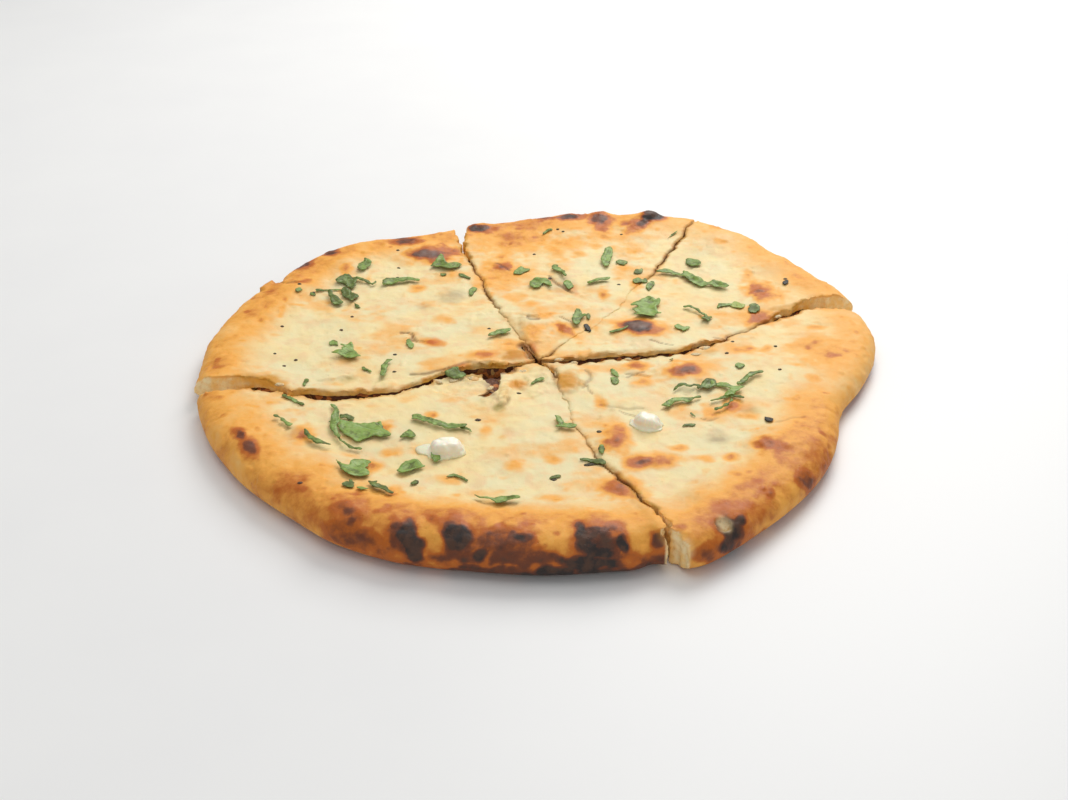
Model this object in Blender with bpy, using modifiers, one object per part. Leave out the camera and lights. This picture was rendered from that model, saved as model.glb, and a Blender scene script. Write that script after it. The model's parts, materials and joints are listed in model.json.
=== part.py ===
"""A stuffed tandoor flatbread, cut into five slices that still lie together as the whole round.

The bread lies on its flat underside. +X runs to the right across the bread, +Y away from the front
and +Z up. The origin is the middle of its outline, on the surface it rests on.
"""

import math
import random

import bmesh
import bpy
from mathutils import Matrix, Vector, noise
from mathutils.bvhtree import BVHTree

MM = 0.001

# Driving sizes of the whole bread, in millimetres
MIDDLE_THICKNESS = 9.6
RIM_RADII = (  # every 10 degrees, counted from +X towards +Y
    131.5, 136.7, 139, 139, 140.5, 145.5, 147, 140.5, 135, 129.5, 125, 123.5,
    124, 131, 134, 133.5, 134.5, 134.5, 134.5, 134.5, 134, 134, 134, 134,
    136, 136, 134, 134, 134, 138.5, 133, 129, 125.5, 121, 117.5, 123.5,
)
RIM_HEIGHTS = (  # height of the rim's crest, every 15 degrees
    10.5, 10.5, 11.5, 12, 12, 12, 12, 11.5, 12, 12.5, 11.5, 11,
    11, 11.5, 12.5, 13, 13.5, 14, 14, 13.5, 13, 12.5, 11.5, 10.5,
)
RIM_NOTCHES = ((151.5, 1.6, 3.5), (285.5, 2.5, 4.2))  # angle, half width in degrees, depth

# The rim's section: where its crest stands, as a share of the radius, and how far it turns under
CREST_REACH = 0.925
RIM_RISE_START = 0.72
RIM_MIDDLE = 0.4
UNDERTURN = math.radians(60)

# How the faces of the round are shared between its top, its rim and its underside
ROUND_SUBDIVISIONS = 5
TOP_SHARE = 0.6
BASE_SHARE = 0.2

# The filling: a flat pocket inside the dough, with the same play all round it
FILLING_REACH = 0.86
TOP_CRUST = 1.5
BOTTOM_CRUST = 2.3
FILLING_PLAY = 0.35
FILLING_SEGMENTS = 30
FILLING_RINGS = 8

# Undulation of the crust, and how far a raised or pressed cut edge is felt
WAVE_LENGTH = 23.0
WAVE_HEIGHT = 0.7
STEP_REACH = 10.0
STEP_UP = 0.7

# Blisters of the crust and rim: x, y, half length along x and y, height
BLISTERS = (
    (-52, 86, 11, 9, 1.6), (-87, 74, 6, 9, 0.8), (-105, 52, 9, 7, 1.0), (-11, -6, 5, 5, 2.0),
    (-24, -6, 7, 4, 1.0), (-74, 18, 12, 10, 0.8), (-18, 74, 6, 7, 1.0), (28, 129, 5, 8, 2.2),
    (13, 130, 6, 4, 1.4), (-30, 117, 6, 5, 1.6), (44, 120, 8, 8, 1.0), (53.5, 134, 5, 5, 3.6),
    (-4, 15, 6, 9, 1.3), (10, 16, 5, 9, 1.0), (7, 93, 9, 8, 0.8), (41, 16, 11, 8, 2.0),
    (93, 42, 8, 13, 1.8), (116, 54, 11, 5, 1.2), (82, 100, 8, 6, 0.7), (52, -18, 8, 8, 1.5),
    (25, -66, 6, 9, 1.4), (37, -80, 9, 5, 1.1), (9, -24, 5, 8, 1.5), (82, -70, 11, 11, 2.0),
    (73, -104, 6, 8, 0.9), (62, -115, 8, 8, 1.5), (112, 18, 9, 4, -0.9), (36, -17, 6, 4, 0.9),
    (37, -27, 5, 5, 0.8), (-85, -62, 6, 5, 0.8), (-9, -84, 5, 4, 0.7), (24, -95, 5, 5, 1.1),
    (-104, -71, 5, 9, 1.1), (-66, -112, 9, 8, 1.2), (-47, -122, 6, 9, 1.2), (-29, -118, 7, 8, 1.5),
    (-10, -121, 9, 7, 1.0), (15, -121, 10, 8, 1.6), (34, -122, 5, 6, 1.0), (57, -117, 3, 4, -1.4),
    (100, -20, 15, 12, 0.8),
)

# Cuts from the hub outwards: x, y, gap, and how much higher the edge on the anticlockwise side is
HUB = (-2.0, -9.5)
TIP_DISTANCE = 2.2
CUTS = {
    "west": (
        (-7, -11.8, 1.8, -0.6), (-11, -14, 2.0, -1), (-15, -17, 3.0, -1.5), (-20, -17.5, 3.6, -1.5),
        (-26, -16.5, 4.0, -1.5), (-32, -17.5, 4.0, -1.5), (-38, -21.5, 3.2, -1.3),
        (-44, -26, 3.0, -1.2), (-50, -29.5, 3.0, -1), (-56, -32.5, 2.6, -1), (-62, -34.5, 2.8, -1),
        (-69, -36, 3.6, -1), (-76, -36.5, 4.2, -1), (-84, -36.2, 4.4, -1), (-90, -35.2, 3.6, -1),
        (-95, -33.5, 2.0, -0.8), (-99, -31.5, 3.0, -1.4), (-104, -30, 5.5, -2),
        (-110, -29.5, 7.0, -2.2), (-117, -29.5, 7.5, -2), (-126, -29.5, 7.5, -1.8),
        (-136, -29.5, 8, -1.5), (-155, -29.5, 8, -1.5),
    ),
    "north_west": (
        (-4, -5, 2.4, -0.4), (-6, 0, 2.8, -0.5), (-8, 5, 2.2, -0.5), (-10.3, 12, 1.3, -0.5),
        (-13, 20, 1.5, -0.6), (-17, 30, 1.5, -0.6), (-21, 41, 1.2, -0.5), (-24.5, 52, 1.0, -0.5),
        (-27.5, 63, 0.9, -0.4), (-30.5, 75, 1.0, -0.4), (-32.5, 84, 1.4, -0.4),
        (-35.5, 92, 2.0, -0.3), (-36.8, 102, 3.6, 0), (-37.5, 110, 5.0, 0), (-38.5, 118, 7.0, 0),
        (-39.5, 130, 8.0, 0), (-41, 150, 9.0, 0),
    ),
    "north_east": (
        (2.5, -5, 1.0, 0.2), (7, 2, 0.7, 0.3), (12, 9, 0.7, 0.3), (17, 15, 0.8, 0.3),
        (22, 21, 0.7, 0.3), (27, 28, 0.7, 0.3), (31.5, 36, 0.8, 0.4), (35, 44, 1.1, 0.4),
        (39, 52, 0.9, 0.3), (44, 60, 0.7, 0.3), (49, 67.5, 0.8, 0.3), (52.5, 76, 0.8, 0.3),
        (56, 85, 0.8, 0.3), (60, 94, 0.8, 0.3), (64, 104, 1.0, 0.3), (67.5, 112, 0.9, 0.3),
        (71, 119, 0.9, 0.2), (74.5, 128, 1.2, 0), (84, 152, 1.4, 0),
    ),
    "east": (
        (3, -10.3, 2.6, 0.5), (8, -11, 3.6, 0.8), (13, -10.5, 3.2, 1), (19, -9, 2.6, 1.2),
        (25, -8, 2.6, 1.2), (32, -6.7, 2.3, 1.2), (39, -5.4, 2.0, 1.1), (46, -3.8, 1.8, 1),
        (54, -2.5, 1.8, 0.9), (60, -0.2, 1.7, 0.8), (66, 3.5, 2.0, 0.7), (71, 7, 1.0, 0.5),
        (76, 10, 0.7, 0.3), (82, 14, 0.7, 0.3), (88, 18.5, 0.7, 0.3), (93, 23.5, 1.2, 0.5),
        (98, 27.5, 2.0, 0.9), (104, 31.5, 3.0, 1.4), (109, 35.5, 3.4, 1.9), (113, 37.5, 4.6, 2.2),
        (118, 38.7, 6.5, 2.4), (123, 38.5, 8.0, 2.2), (128, 38, 9.0, 1.6), (137, 37, 9.5, 1),
        (155, 36, 10, 1),
    ),
    "south": (
        (1.5, -14, 3.0, 0.4), (3.5, -18.5, 2.4, 0.4), (4.8, -24, 0.9, 0.4), (6.5, -34, 0.7, 0.3),
        (8.8, -44, 0.7, 0.3), (11, -53, 0.7, 0.3), (13.3, -62, 0.8, 0.4), (16, -71, 0.9, 0.4),
        (18.7, -78.5, 0.7, 0.4), (22, -84.5, 0.7, 0.4), (25.5, -90.5, 1.0, 0.4),
        (29, -98, 1.3, 0.5), (32.3, -105, 1.5, 0.5), (35, -112, 1.8, 0.6), (37.2, -118, 2.2, 0.6),
        (39.2, -124.5, 3.4, 0.5), (41.3, -131, 6.2, 0.4), (45, -150, 8.5, 0.4),
    ),
}
CUT_SPACING = 6.5
WELD = 0.02
CUT_JAG = 0.7
EDGE_JAG = 0.35
OUTSIDE = 185.0

# Slices, each from one cut anticlockwise to the next
SLICES = {
    "back_left": ("north_west", "west"),
    "back_middle": ("north_east", "north_west"),
    "back_right": ("east", "north_east"),
    "front_right": ("south", "east"),
    "front_left": ("west", "south"),
}

# The torn place in the front left slice's upper crust, through which the filling shows
TEAR_SLICE = "front_left"
TEAR_FLOOR = 4.6
TEAR_TOP = 20.0
TEAR = (
    (-23, -14), (-17.3, -14), (-16.2, -24), (-16.8, -30), (-18.3, -33.5), (-23.3, -37.2),
    (-24.3, -35.5), (-20.8, -32), (-20.3, -27), (-23, -22.5),
)

# Larger coriander leaves: points along the rib as x, y and width across the blade
LEAF_SPACING = 5.0
LEAF_THICKNESS = 0.5
LEAF_CLEARANCE = 0.45
LEAF_WAVE = 0.35
LEAF_CURL = 0.5
LEAVES = (
    ((-77.5, -45, 1.4), (-76, -51, 3), (-75, -57, 6), (-70, -61.5, 12), (-63, -62, 11.5), (-55, -61.5, 4.5)),
    ((-77, -63.5, 1.2), (-74.5, -68.5, 1.8), (-69, -73, 1.8), (-63, -74.5, 1.0)),
    ((-71, -84, 3), (-67.5, -88, 9.5), (-63.5, -88.5, 11.5), (-59.5, -86.5, 6)),
    ((-49, -52.5, 3), (-43.5, -54.5, 4), (-36, -56.5, 3.4), (-29.5, -58, 3.2), (-25.5, -61, 1.2)),
    ((-49, -86.5, 4), (-46, -84.8, 6.5), (-42.5, -83, 5.5), (-39.8, -82.5, 2)),
    ((-22.5, -103.5, 2), (-18.5, -107.5, 4.6), (-14.5, -109.5, 5), (-11, -107.5, 4.6), (-8, -105.5, 2)),
    ((-96.5, -53, 1.2), (-93.5, -56.5, 2.8), (-89.5, -60, 1.4)),
    ((-58, -96.5, 2.5), (-54.5, -100, 4.6), (-50.5, -103.5, 2.5)),
    ((-51, -64, 2), (-47.5, -63.3, 5), (-44.5, -64, 3)),
    ((-39.5, -77.5, 2.5), (-37.5, -79.5, 4), (-34.5, -81.5, 2.4)),
    ((43, -45.5, 2.5), (46, -42.5, 4), (50, -40.5, 4), (57.5, -37.8, 1.2)),
    ((48.5, -32.5, 1.2), (52, -30.5, 1.8), (57, -31, 3), (61, -29, 5), (64, -26.5, 3)),
    ((67, -28, 3), (69.5, -31, 5), (71.5, -34.5, 4.5), (69, -38.5, 3.4), (62, -42.5, 1.2)),
    ((74, -29, 2.2), (76.5, -26, 3.2), (79.5, -23.5, 3), (83.3, -21.5, 1.5)),
    ((54, 68.5, 2), (58, 68, 4.2), (62, 64, 5), (66.5, 58.5, 5), (71.5, 56.5, 2.4), (75.5, 56, 4.6), (80.5, 51.5, 1.6)),
    ((45.5, 43, 3), (44.5, 39, 8), (43.5, 34, 9), (43, 29, 7.5), (43.5, 24, 4.5)),
    ((67.5, 80, 3.5), (67.5, 76.5, 6.5), (67.5, 73, 4), (67.5, 68, 1.2)),
    ((30, 92, 2.5), (29, 86, 4.2), (28, 80, 4.2), (27.5, 74.5, 3)),
    ((-3.4, 52.5, 3), (-3, 57.5, 5.6), (0, 59.5, 4), (2, 56, 2.6), (4, 51, 1.8)),
    ((19.5, 57.5, 2), (23, 60, 3.2), (26, 60.8, 3.2), (28.5, 60.5, 1.6)),
    ((5.5, 73.5, 3), (7, 69.5, 4.2), (9, 66, 3), (10, 63, 1.6)),
    ((-69, 57, 2.6), (-64, 57.5, 3.6), (-59, 59, 3.2), (-55, 60.5, 2.6)),
    ((-89.5, 62, 3), (-86, 62.5, 6.5), (-83, 60.5, 4), (-79.5, 60, 2.2), (-72.5, 57.5, 1.3)),
    ((-91, 48, 3), (-88.5, 43, 5), (-86.5, 38, 3)),
    ((-83, 49, 3.6), (-81.5, 44, 5), (-79, 39, 3), (-77, 35.5, 1.6)),
    ((-76.5, 4, 2), (-76.5, -1, 5), (-76.5, -5, 8), (-76, -8, 4.5)),
    ((-60.8, -9.5, 2.6), (-61.3, -14, 3.2), (-61.8, -18, 3), (-61.5, -22.5, 2.2)),
    ((-49.5, 79.5, 3), (-47, 76.5, 5.4), (-43, 75, 4.4), (-38, 74.5, 3)),
    ((-78, 80.5, 2.4), (-78.5, 76, 4.6), (-79, 71.5, 2)),
    ((-22, 8, 1.6), (-18.8, 11, 3), (-14.5, 13, 2)),
    ((15, 34, 2.4), (14.5, 29, 4.2), (13.5, 24, 3.6), (12.3, 20, 1.6)),
    ((59, 35, 1.6), (63, 33, 2.2), (66.5, 28, 2.2), (66, 22, 1.8)),
    ((-85.5, -64, 1.6), (-80.5, -68.5, 3), (-74.8, -71.8, 1.6)),
    ((4.2, -52.5, 2.4), (5.8, -56, 3.2), (8, -58.8, 3), (11.5, -59.8, 2)),
)

# Small flakes of leaf and spice, pressed into the crust: slice, x, y, length, width, turn in degrees
FLAKE_SIDES = 7
FLAKE_HEIGHT = 1.1
FLAKES = (
    ("back_left", -53.5, 3, 7, 2.8, 105), ("back_left", -84, 6, 6, 2.6, 120),
    ("back_left", -30.5, 50, 7.5, 3, 85), ("back_left", -68, -17, 4.5, 1.8, -40),
    ("back_left", -90, -27, 5, 1.8, 85), ("back_left", -36, 64, 5, 2.4, -35),
    ("back_middle", -9, 70, 6.5, 5, 30), ("back_middle", 11.5, 57, 6.5, 4, 100),
    ("back_middle", 7.5, 52, 13, 2.8, -62), ("back_middle", 8.5, 111, 4.5, 2.4, 70),
    ("back_middle", 36, 80, 4.5, 3.6, 60), ("back_middle", 42.3, 69, 5, 2.6, 60),
    ("back_middle", 56.5, 109.5, 6, 1.8, -60), ("back_right", 88.5, 34.5, 6.5, 4.5, 80),
    ("back_right", 75.5, 35.5, 6, 2.8, 15), ("back_right", 81.5, 36.5, 5, 4, -20),
    ("back_right", 57, 16.5, 5, 3.8, 60), ("back_right", 104, 55.5, 4.6, 1.8, 60),
    ("front_right", 26.6, -19.5, 6, 2.6, -70), ("front_right", 26.6, -26.5, 4.6, 3, 70),
    ("front_right", 75.3, -14.5, 4.6, 3.2, 70), ("front_right", 80.5, -53.8, 4, 3, 60),
    ("front_right", 65.5, -47, 7, 1.8, 50), ("front_left", -65, -99.5, 5.5, 3.6, -60),
    ("front_left", -60.3, -101, 5, 3, 10), ("front_left", -35, -25, 5, 4, 30),
    ("front_left", -2.6, -26, 4.6, 2.6, 50),
)

# Cubes of white butter: name, x, y, width, depth, height, turn in degrees
BUTTER_BEVEL = 1.5
BUTTER_CLEARANCE = 0.4
BUTTER = (
    ("butter_left", -34.2, -72, 9.8, 8.5, 5.5, 12),
    ("butter_right", 37.3, -57, 8.6, 7.5, 4.4, -15),
)

COLOURS = {  # base colour, roughness
    "dough": ((0.80, 0.62, 0.33), 0.6),
    "filling": ((0.30, 0.15, 0.05), 0.7),
    "coriander": ((0.12, 0.28, 0.07), 0.5),
    "butter": ((0.93, 0.90, 0.78), 0.35),
}


def smoothstep(low, high, value):
    share = min(max((value - low) / (high - low), 0.0), 1.0)
    return share * share * (3 - 2 * share)


def between(a, b, c, d, share):
    """The smooth curve from b to c, with a before it and d after it."""
    return b + 0.5 * share * (c - a + share * (2 * a - 5 * b + 4 * c - d + share * (3 * (b - c) + d - a)))


def round_the_rim(values, angle):
    """Reads values that stand at even steps round the bread, at any angle."""
    place = angle / math.tau % 1.0 * len(values)
    start = int(place)
    near = (values[(start + step) % len(values)] for step in (-1, 0, 1, 2))
    return between(*near, place - start)


def along(points, spacing):
    """Rows of numbers every spacing or so along the smooth open curve through points."""
    rows = []
    for index in range(len(points) - 1):
        near = [points[min(max(index + step, 0), len(points) - 1)] for step in (-1, 0, 1, 2)]
        steps = max(1, round(math.dist(near[1][:2], near[2][:2]) / spacing))
        for step in range(steps):
            rows.append([between(*column, step / steps) for column in zip(*near)])
    rows.append(list(points[-1]))
    return rows


def rim_radius(angle):
    radius = round_the_rim(RIM_RADII, angle)
    for middle, half, depth in RIM_NOTCHES:
        away = (math.degrees(angle) - middle + 180) % 360 - 180
        radius -= depth * math.exp(-((away / half) ** 2))
    return radius


def body_height(reach, angle):
    """Top of the crust without its blisters; reach is the share of the way out to the rim."""
    crest = round_the_rim(RIM_HEIGHTS, angle)
    return MIDDLE_THICKNESS + (crest - MIDDLE_THICKNESS) * smoothstep(RIM_RISE_START, CREST_REACH, reach)


def relief(x, y):
    """Blisters and the slow waves of the crust."""
    height = WAVE_HEIGHT * noise.noise(Vector((x, y, 0)) / WAVE_LENGTH)
    for middle_x, middle_y, half_x, half_y, rise in BLISTERS:
        away = ((x - middle_x) / half_x) ** 2 + ((y - middle_y) / half_y) ** 2
        if away < 6:
            height += rise * math.exp(-away)
    return height


def edge_step(name, x, y):
    """How much a slice's crust is raised or pressed beside the cuts that bound it."""
    height = 0.0
    for cut, side in zip(SLICES[name], (1, -1)):
        nearest = min(CUTS[cut], key=lambda point: (point[0] - x) ** 2 + (point[1] - y) ** 2)
        away = math.dist(nearest[:2], (x, y)) / STEP_REACH
        step = side * nearest[3]
        height += step * (STEP_UP if step > 0 else 1 - STEP_UP) * math.exp(-(away**2))
    return height


def bread_point(direction, name):
    """Moves a point of a unit ball to its place on the bread's skin, as the named slice has it."""
    share = (1 - direction.z) / 2
    angle = math.atan2(direction.y, direction.x)
    radius = rim_radius(angle)
    outward = Vector((math.cos(angle), math.sin(angle), 0))
    if share <= TOP_SHARE:
        reach = CREST_REACH * math.sqrt(share / TOP_SHARE)
        place = outward * radius * reach
        place.z = body_height(reach, angle) + relief(place.x, place.y) + edge_step(name, place.x, place.y)
        return place
    if share < 1 - BASE_SHARE:
        turned = (share - TOP_SHARE) / (1 - TOP_SHARE - BASE_SHARE)
        tilt = math.pi / 2 - turned * (math.pi / 2 + UNDERTURN)
        crest = body_height(CREST_REACH, angle)
        middle = RIM_MIDDLE * crest
        place = outward * radius * (CREST_REACH + (1 - CREST_REACH) * math.cos(tilt))
        if tilt > 0:
            place.z = middle + (crest - middle) * math.sin(tilt)
        else:
            place.z = middle + middle * math.sin(tilt) / math.sin(UNDERTURN)
        bump = relief(place.x, place.y) + edge_step(name, place.x, place.y)
        bump *= smoothstep(-0.8, 0.5, math.sin(tilt))
        return place + (outward * math.cos(tilt) + Vector((0, 0, math.sin(tilt)))) * bump
    underside = CREST_REACH + (1 - CREST_REACH) * math.cos(UNDERTURN)
    return outward * radius * underside * math.sqrt((1 - share) / BASE_SHARE)


def pocket_point(direction, name, play):
    """Moves a point of a unit ball to the wall of the filling's pocket, drawn in by play."""
    share = (1 - direction.z) / 2
    angle = math.atan2(direction.y, direction.x)
    out = math.sqrt(2 * min(share, 1 - share))
    reach = FILLING_REACH * out
    place = Vector((math.cos(angle), math.sin(angle), 0)) * (rim_radius(angle) * reach - play * 8 * out)
    roof = MIDDLE_THICKNESS + edge_step(name, place.x, place.y) - TOP_CRUST
    middle = (roof + BOTTOM_CRUST) / 2
    half = ((roof - BOTTOM_CRUST) / 2 - play) * math.sqrt(max(1 - out**4, 0))
    place.z = middle + half * (1 if direction.z > 0 else -1 if direction.z < 0 else 0)
    return place


def linked(mesh, name, collection):
    thing = bpy.data.objects.new(name, mesh)
    collection.objects.link(thing)
    return thing


def ball_object(name, collection, place, subdivisions=None):
    """A unit ball, each point moved by place(direction), which gives millimetres."""
    shell = bmesh.new()
    if subdivisions:
        bmesh.ops.create_icosphere(shell, subdivisions=subdivisions, radius=1)
    else:
        bmesh.ops.create_uvsphere(shell, u_segments=FILLING_SEGMENTS, v_segments=FILLING_RINGS, radius=1)
    for vertex in shell.verts:
        direction = vertex.co.normalized()
        if abs(direction.z) < 1e-6:
            direction.z = 0
        vertex.co = place(direction) * MM
    mesh = bpy.data.meshes.new(name)
    shell.to_mesh(mesh)
    shell.free()
    return linked(mesh, name, collection)


def prism(name, collection, outline, low, high):
    """An upright block over a flat outline, made from a filled curve."""
    curve = bpy.data.curves.new(name, "CURVE")
    curve.dimensions = "2D"
    curve.fill_mode = "BOTH"
    curve.extrude = (high - low) / 2 * MM
    spline = curve.splines.new("POLY")
    spline.points.add(len(outline) - 1)
    for point, (x, y) in zip(spline.points, outline):
        point.co = (x * MM, y * MM, 0, 1)
    spline.use_cyclic_u = True
    drawn = linked(curve, name + "_outline", collection)
    drawn.location.z = (low + high) / 2 * MM
    bpy.context.view_layer.update()
    mesh = bpy.data.meshes.new_from_object(drawn.evaluated_get(bpy.context.evaluated_depsgraph_get()))
    welded = bmesh.new()
    welded.from_mesh(mesh)
    bmesh.ops.remove_doubles(welded, verts=welded.verts, dist=0.01 * MM)
    bmesh.ops.recalc_face_normals(welded, faces=welded.faces)
    welded.to_mesh(mesh)
    welded.free()
    block = linked(mesh, name, collection)
    block.matrix_world = drawn.matrix_world
    bpy.data.objects.remove(drawn)
    block.display_type = "WIRE"
    block.hide_render = True
    return block


def cut_sides(cut):
    """The two jagged edges that a cut leaves: the clockwise one, then the anticlockwise one."""
    draw = random.Random("cut " + cut)
    rows = along(CUTS[cut], CUT_SPACING)
    sides = ([], [])
    for index, (x, y, gap, _) in enumerate(rows):
        before = rows[max(index - 1, 0)]
        after = rows[min(index + 1, len(rows) - 1)]
        run = Vector((after[0] - before[0], after[1] - before[1])).normalized()
        left = Vector((-run.y, run.x))
        middle = Vector((x, y)) + left * CUT_JAG * draw.uniform(-1, 1)
        for side, edge in zip((-1, 1), sides):
            edge.append(middle + left * side * (gap / 2 + EDGE_JAG * draw.random()))
    return sides


def slice_outline(name, inset):
    """The outline that keeps one slice, with its cut edges drawn in by inset."""
    first, second = (cut_sides(cut)[side] for cut, side in zip(SLICES[name], (1, 0)))
    start = math.atan2(first[-1].y, first[-1].x)
    sweep = (math.atan2(second[-1].y, second[-1].x) - start) % math.tau
    arc = [
        Vector((math.cos(angle), math.sin(angle))) * OUTSIDE
        for angle in (start + sweep * step / 8 for step in range(1, 8))
    ]
    hub = Vector(HUB)
    inward = ((first[0] - hub).normalized() + (second[0] - hub).normalized()).normalized()
    tip = hub + inward * (TIP_DISTANCE + inset)
    shift = inward * inset
    return [tip, *(p + shift for p in first), *arc, *(p + shift for p in reversed(second))]


def boolean(thing, operation, cutter):
    made = thing.modifiers.new(operation.title(), "BOOLEAN")
    made.operation = operation
    made.solver = "EXACT"
    made.object = cutter
    return made


def apply_modifiers(thing):
    """Replaces the object's mesh by what its modifiers make of it, without the shortest edges."""
    bpy.context.view_layer.update()
    mesh = bpy.data.meshes.new_from_object(thing.evaluated_get(bpy.context.evaluated_depsgraph_get()))
    clean = bmesh.new()
    clean.from_mesh(mesh)
    bmesh.ops.triangulate(clean, faces=clean.faces)
    bmesh.ops.dissolve_degenerate(clean, dist=WELD * MM, edges=clean.edges)
    clean.to_mesh(mesh)
    clean.free()
    thing.modifiers.clear()
    thing.data = mesh


def dough_slice(name, parts, cutters):
    """One slice of dough: the round, less the filling's pocket, kept inside the slice's outline."""
    dough = ball_object("dough_" + name, parts, lambda d: bread_point(d, name), ROUND_SUBDIVISIONS)
    pocket = ball_object("pocket_" + name, cutters, lambda d: pocket_point(d, name, 0))
    keep = prism("keep_dough_" + name, cutters, slice_outline(name, 0), -5, 30)
    boolean(dough, "DIFFERENCE", pocket)
    boolean(dough, "INTERSECT", keep)
    if name == TEAR_SLICE:
        boolean(dough, "DIFFERENCE", prism("tear", cutters, TEAR, TEAR_FLOOR, TEAR_TOP))
    apply_modifiers(dough)
    return dough


def filling_slice(name, parts, cutters):
    """The filling of one slice, a little smaller than its pocket."""
    filling = ball_object("filling_" + name, parts, lambda d: pocket_point(d, name, FILLING_PLAY))
    keep = prism("keep_filling_" + name, cutters, slice_outline(name, 0.5), -5, 30)
    boolean(filling, "INTERSECT", keep)
    apply_modifiers(filling)
    return filling


def crust_of(doughs):
    """A search tree over the outside of all the dough."""
    points = []
    faces = []
    for dough in doughs:
        start = len(points)
        points += [dough.matrix_world @ vertex.co for vertex in dough.data.vertices]
        faces += [[start + index for index in face.vertices] for face in dough.data.polygons]
    return BVHTree.FromPolygons(points, faces)


def crust_height(crust, x, y, around=0.0):
    """Height of the crust in millimetres, the highest within a short way round the point."""
    found = [0.0]
    for dx, dy in ((0, 0), (1, 0), (-1, 0), (0, 1), (0, -1)):
        above = Vector(((x + dx * around) * MM, (y + dy * around) * MM, 40 * MM))
        hit = crust.ray_cast(above, Vector((0, 0, -1)))[0]
        if hit:
            found.append(hit.z / MM)
    return max(found)


def flake(index, x, y, length, width, turn, collection, crust):
    """A small flake, half sunk in the crust."""
    shape = bmesh.new()
    bmesh.ops.create_cone(shape, cap_ends=True, segments=FLAKE_SIDES, radius1=0.5, radius2=0.36, depth=1)
    draw = random.Random(index)
    for vertex in shape.verts:
        vertex.co.x *= draw.uniform(0.75, 1.1)
        vertex.co.y *= draw.uniform(0.75, 1.1)
    lie = Matrix.Rotation(math.radians(turn), 4, "Z") @ Matrix.Diagonal((length, width, FLAKE_HEIGHT * 2, 1))
    shape.transform(Matrix.Scale(MM, 4) @ lie)
    mesh = bpy.data.meshes.new(f"flake_{index}")
    shape.to_mesh(mesh)
    shape.free()
    made = linked(mesh, f"flake_{index}", collection)
    made.location = Vector((x, y, crust_height(crust, x, y) - FLAKE_HEIGHT * 0.35)) * MM
    return made


def fuse_flakes(dough, name, crust):
    """Joins a slice's small flakes to it with one union."""
    group = bpy.data.collections.new("flakes_" + name)
    bpy.context.scene.collection.children.link(group)
    mine = [row for row in enumerate(FLAKES) if row[1][0] == name]
    for index, (_, *numbers) in mine:
        flake(index, *numbers, group, crust)
    join = boolean(dough, "UNION", None)
    join.operand_type = "COLLECTION"
    join.collection = group
    apply_modifiers(dough)
    for thing in list(group.objects):
        bpy.data.objects.remove(thing)
    bpy.data.collections.remove(group)


def leaf(index, spine, parts, crust):
    """A thin wavy leaf that follows its rib over the crust, both faces with the same triangles."""
    rows = along(spine, LEAF_SPACING)
    sheet = bmesh.new()
    lines = []
    for step, (x, y, width) in enumerate(rows):
        before = rows[max(step - 1, 0)]
        after = rows[min(step + 1, len(rows) - 1)]
        run = Vector((after[0] - before[0], after[1] - before[1])).normalized()
        line = []
        for side in (-1, 0, 1):
            tooth = 1 if (step + side) % 2 else 0.82
            px = x - run.y * side * width / 2 * tooth
            py = y + run.x * side * width / 2 * tooth
            wave = LEAF_WAVE * (1 + math.sin(step * 1.9 + side + index))
            height = crust_height(crust, px, py, 1.4) + LEAF_CLEARANCE + wave + LEAF_CURL * abs(side)
            line.append(sheet.verts.new(Vector((px, py, height)) * MM))
        lines.append(line)
    for line, after in zip(lines, lines[1:]):
        for side in (0, 1):
            sheet.faces.new((line[side + 1], line[side], after[side], after[side + 1]))
    bmesh.ops.triangulate(sheet, faces=sheet.faces)
    bmesh.ops.recalc_face_normals(sheet, faces=sheet.faces)
    if sum(face.normal.z for face in sheet.faces) < 0:
        bmesh.ops.reverse_faces(sheet, faces=sheet.faces)
    name = f"coriander_{index:02d}"
    mesh = bpy.data.meshes.new(name)
    sheet.to_mesh(mesh)
    sheet.free()
    made = linked(mesh, name, parts)
    thick = made.modifiers.new("Thickness", "SOLIDIFY")
    thick.thickness = LEAF_THICKNESS * MM
    thick.offset = 1
    return made


def butter(name, x, y, width, depth, height, turn, parts, crust):
    """A soft-edged cube of butter that stands on the crust."""
    cube = bmesh.new()
    bmesh.ops.create_cube(cube, size=1)
    cube.transform(Matrix.Diagonal((width * MM, depth * MM, height * MM, 1)))
    mesh = bpy.data.meshes.new(name)
    cube.to_mesh(mesh)
    cube.free()
    made = linked(mesh, name, parts)
    spread = max(crust_height(crust, x, y, reach) for reach in (0, width / 4, width / 2))
    made.location = Vector((x, y, spread + BUTTER_CLEARANCE + height / 2)) * MM
    made.rotation_euler.z = math.radians(turn)
    soft = made.modifiers.new("Soft edges", "BEVEL")
    soft.width = BUTTER_BEVEL * MM
    soft.segments = 2
    return made


def finish(kind):
    """A plain material in the real thing's colour."""
    colour, roughness = COLOURS[kind]
    made = bpy.data.materials.new(kind)
    made.use_nodes = True
    shader = made.node_tree.nodes["Principled BSDF"]
    shader.inputs["Base Color"].default_value = (*colour, 1)
    shader.inputs["Roughness"].default_value = roughness
    shader.inputs["Metallic"].default_value = 0
    made.diffuse_color = (*colour, 1)
    return made


def paint(thing, material):
    thing.data.materials.clear()
    thing.data.materials.append(material)
    thing.data.shade_smooth()
    thing.data.set_sharp_from_angle(angle=math.radians(40))


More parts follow.
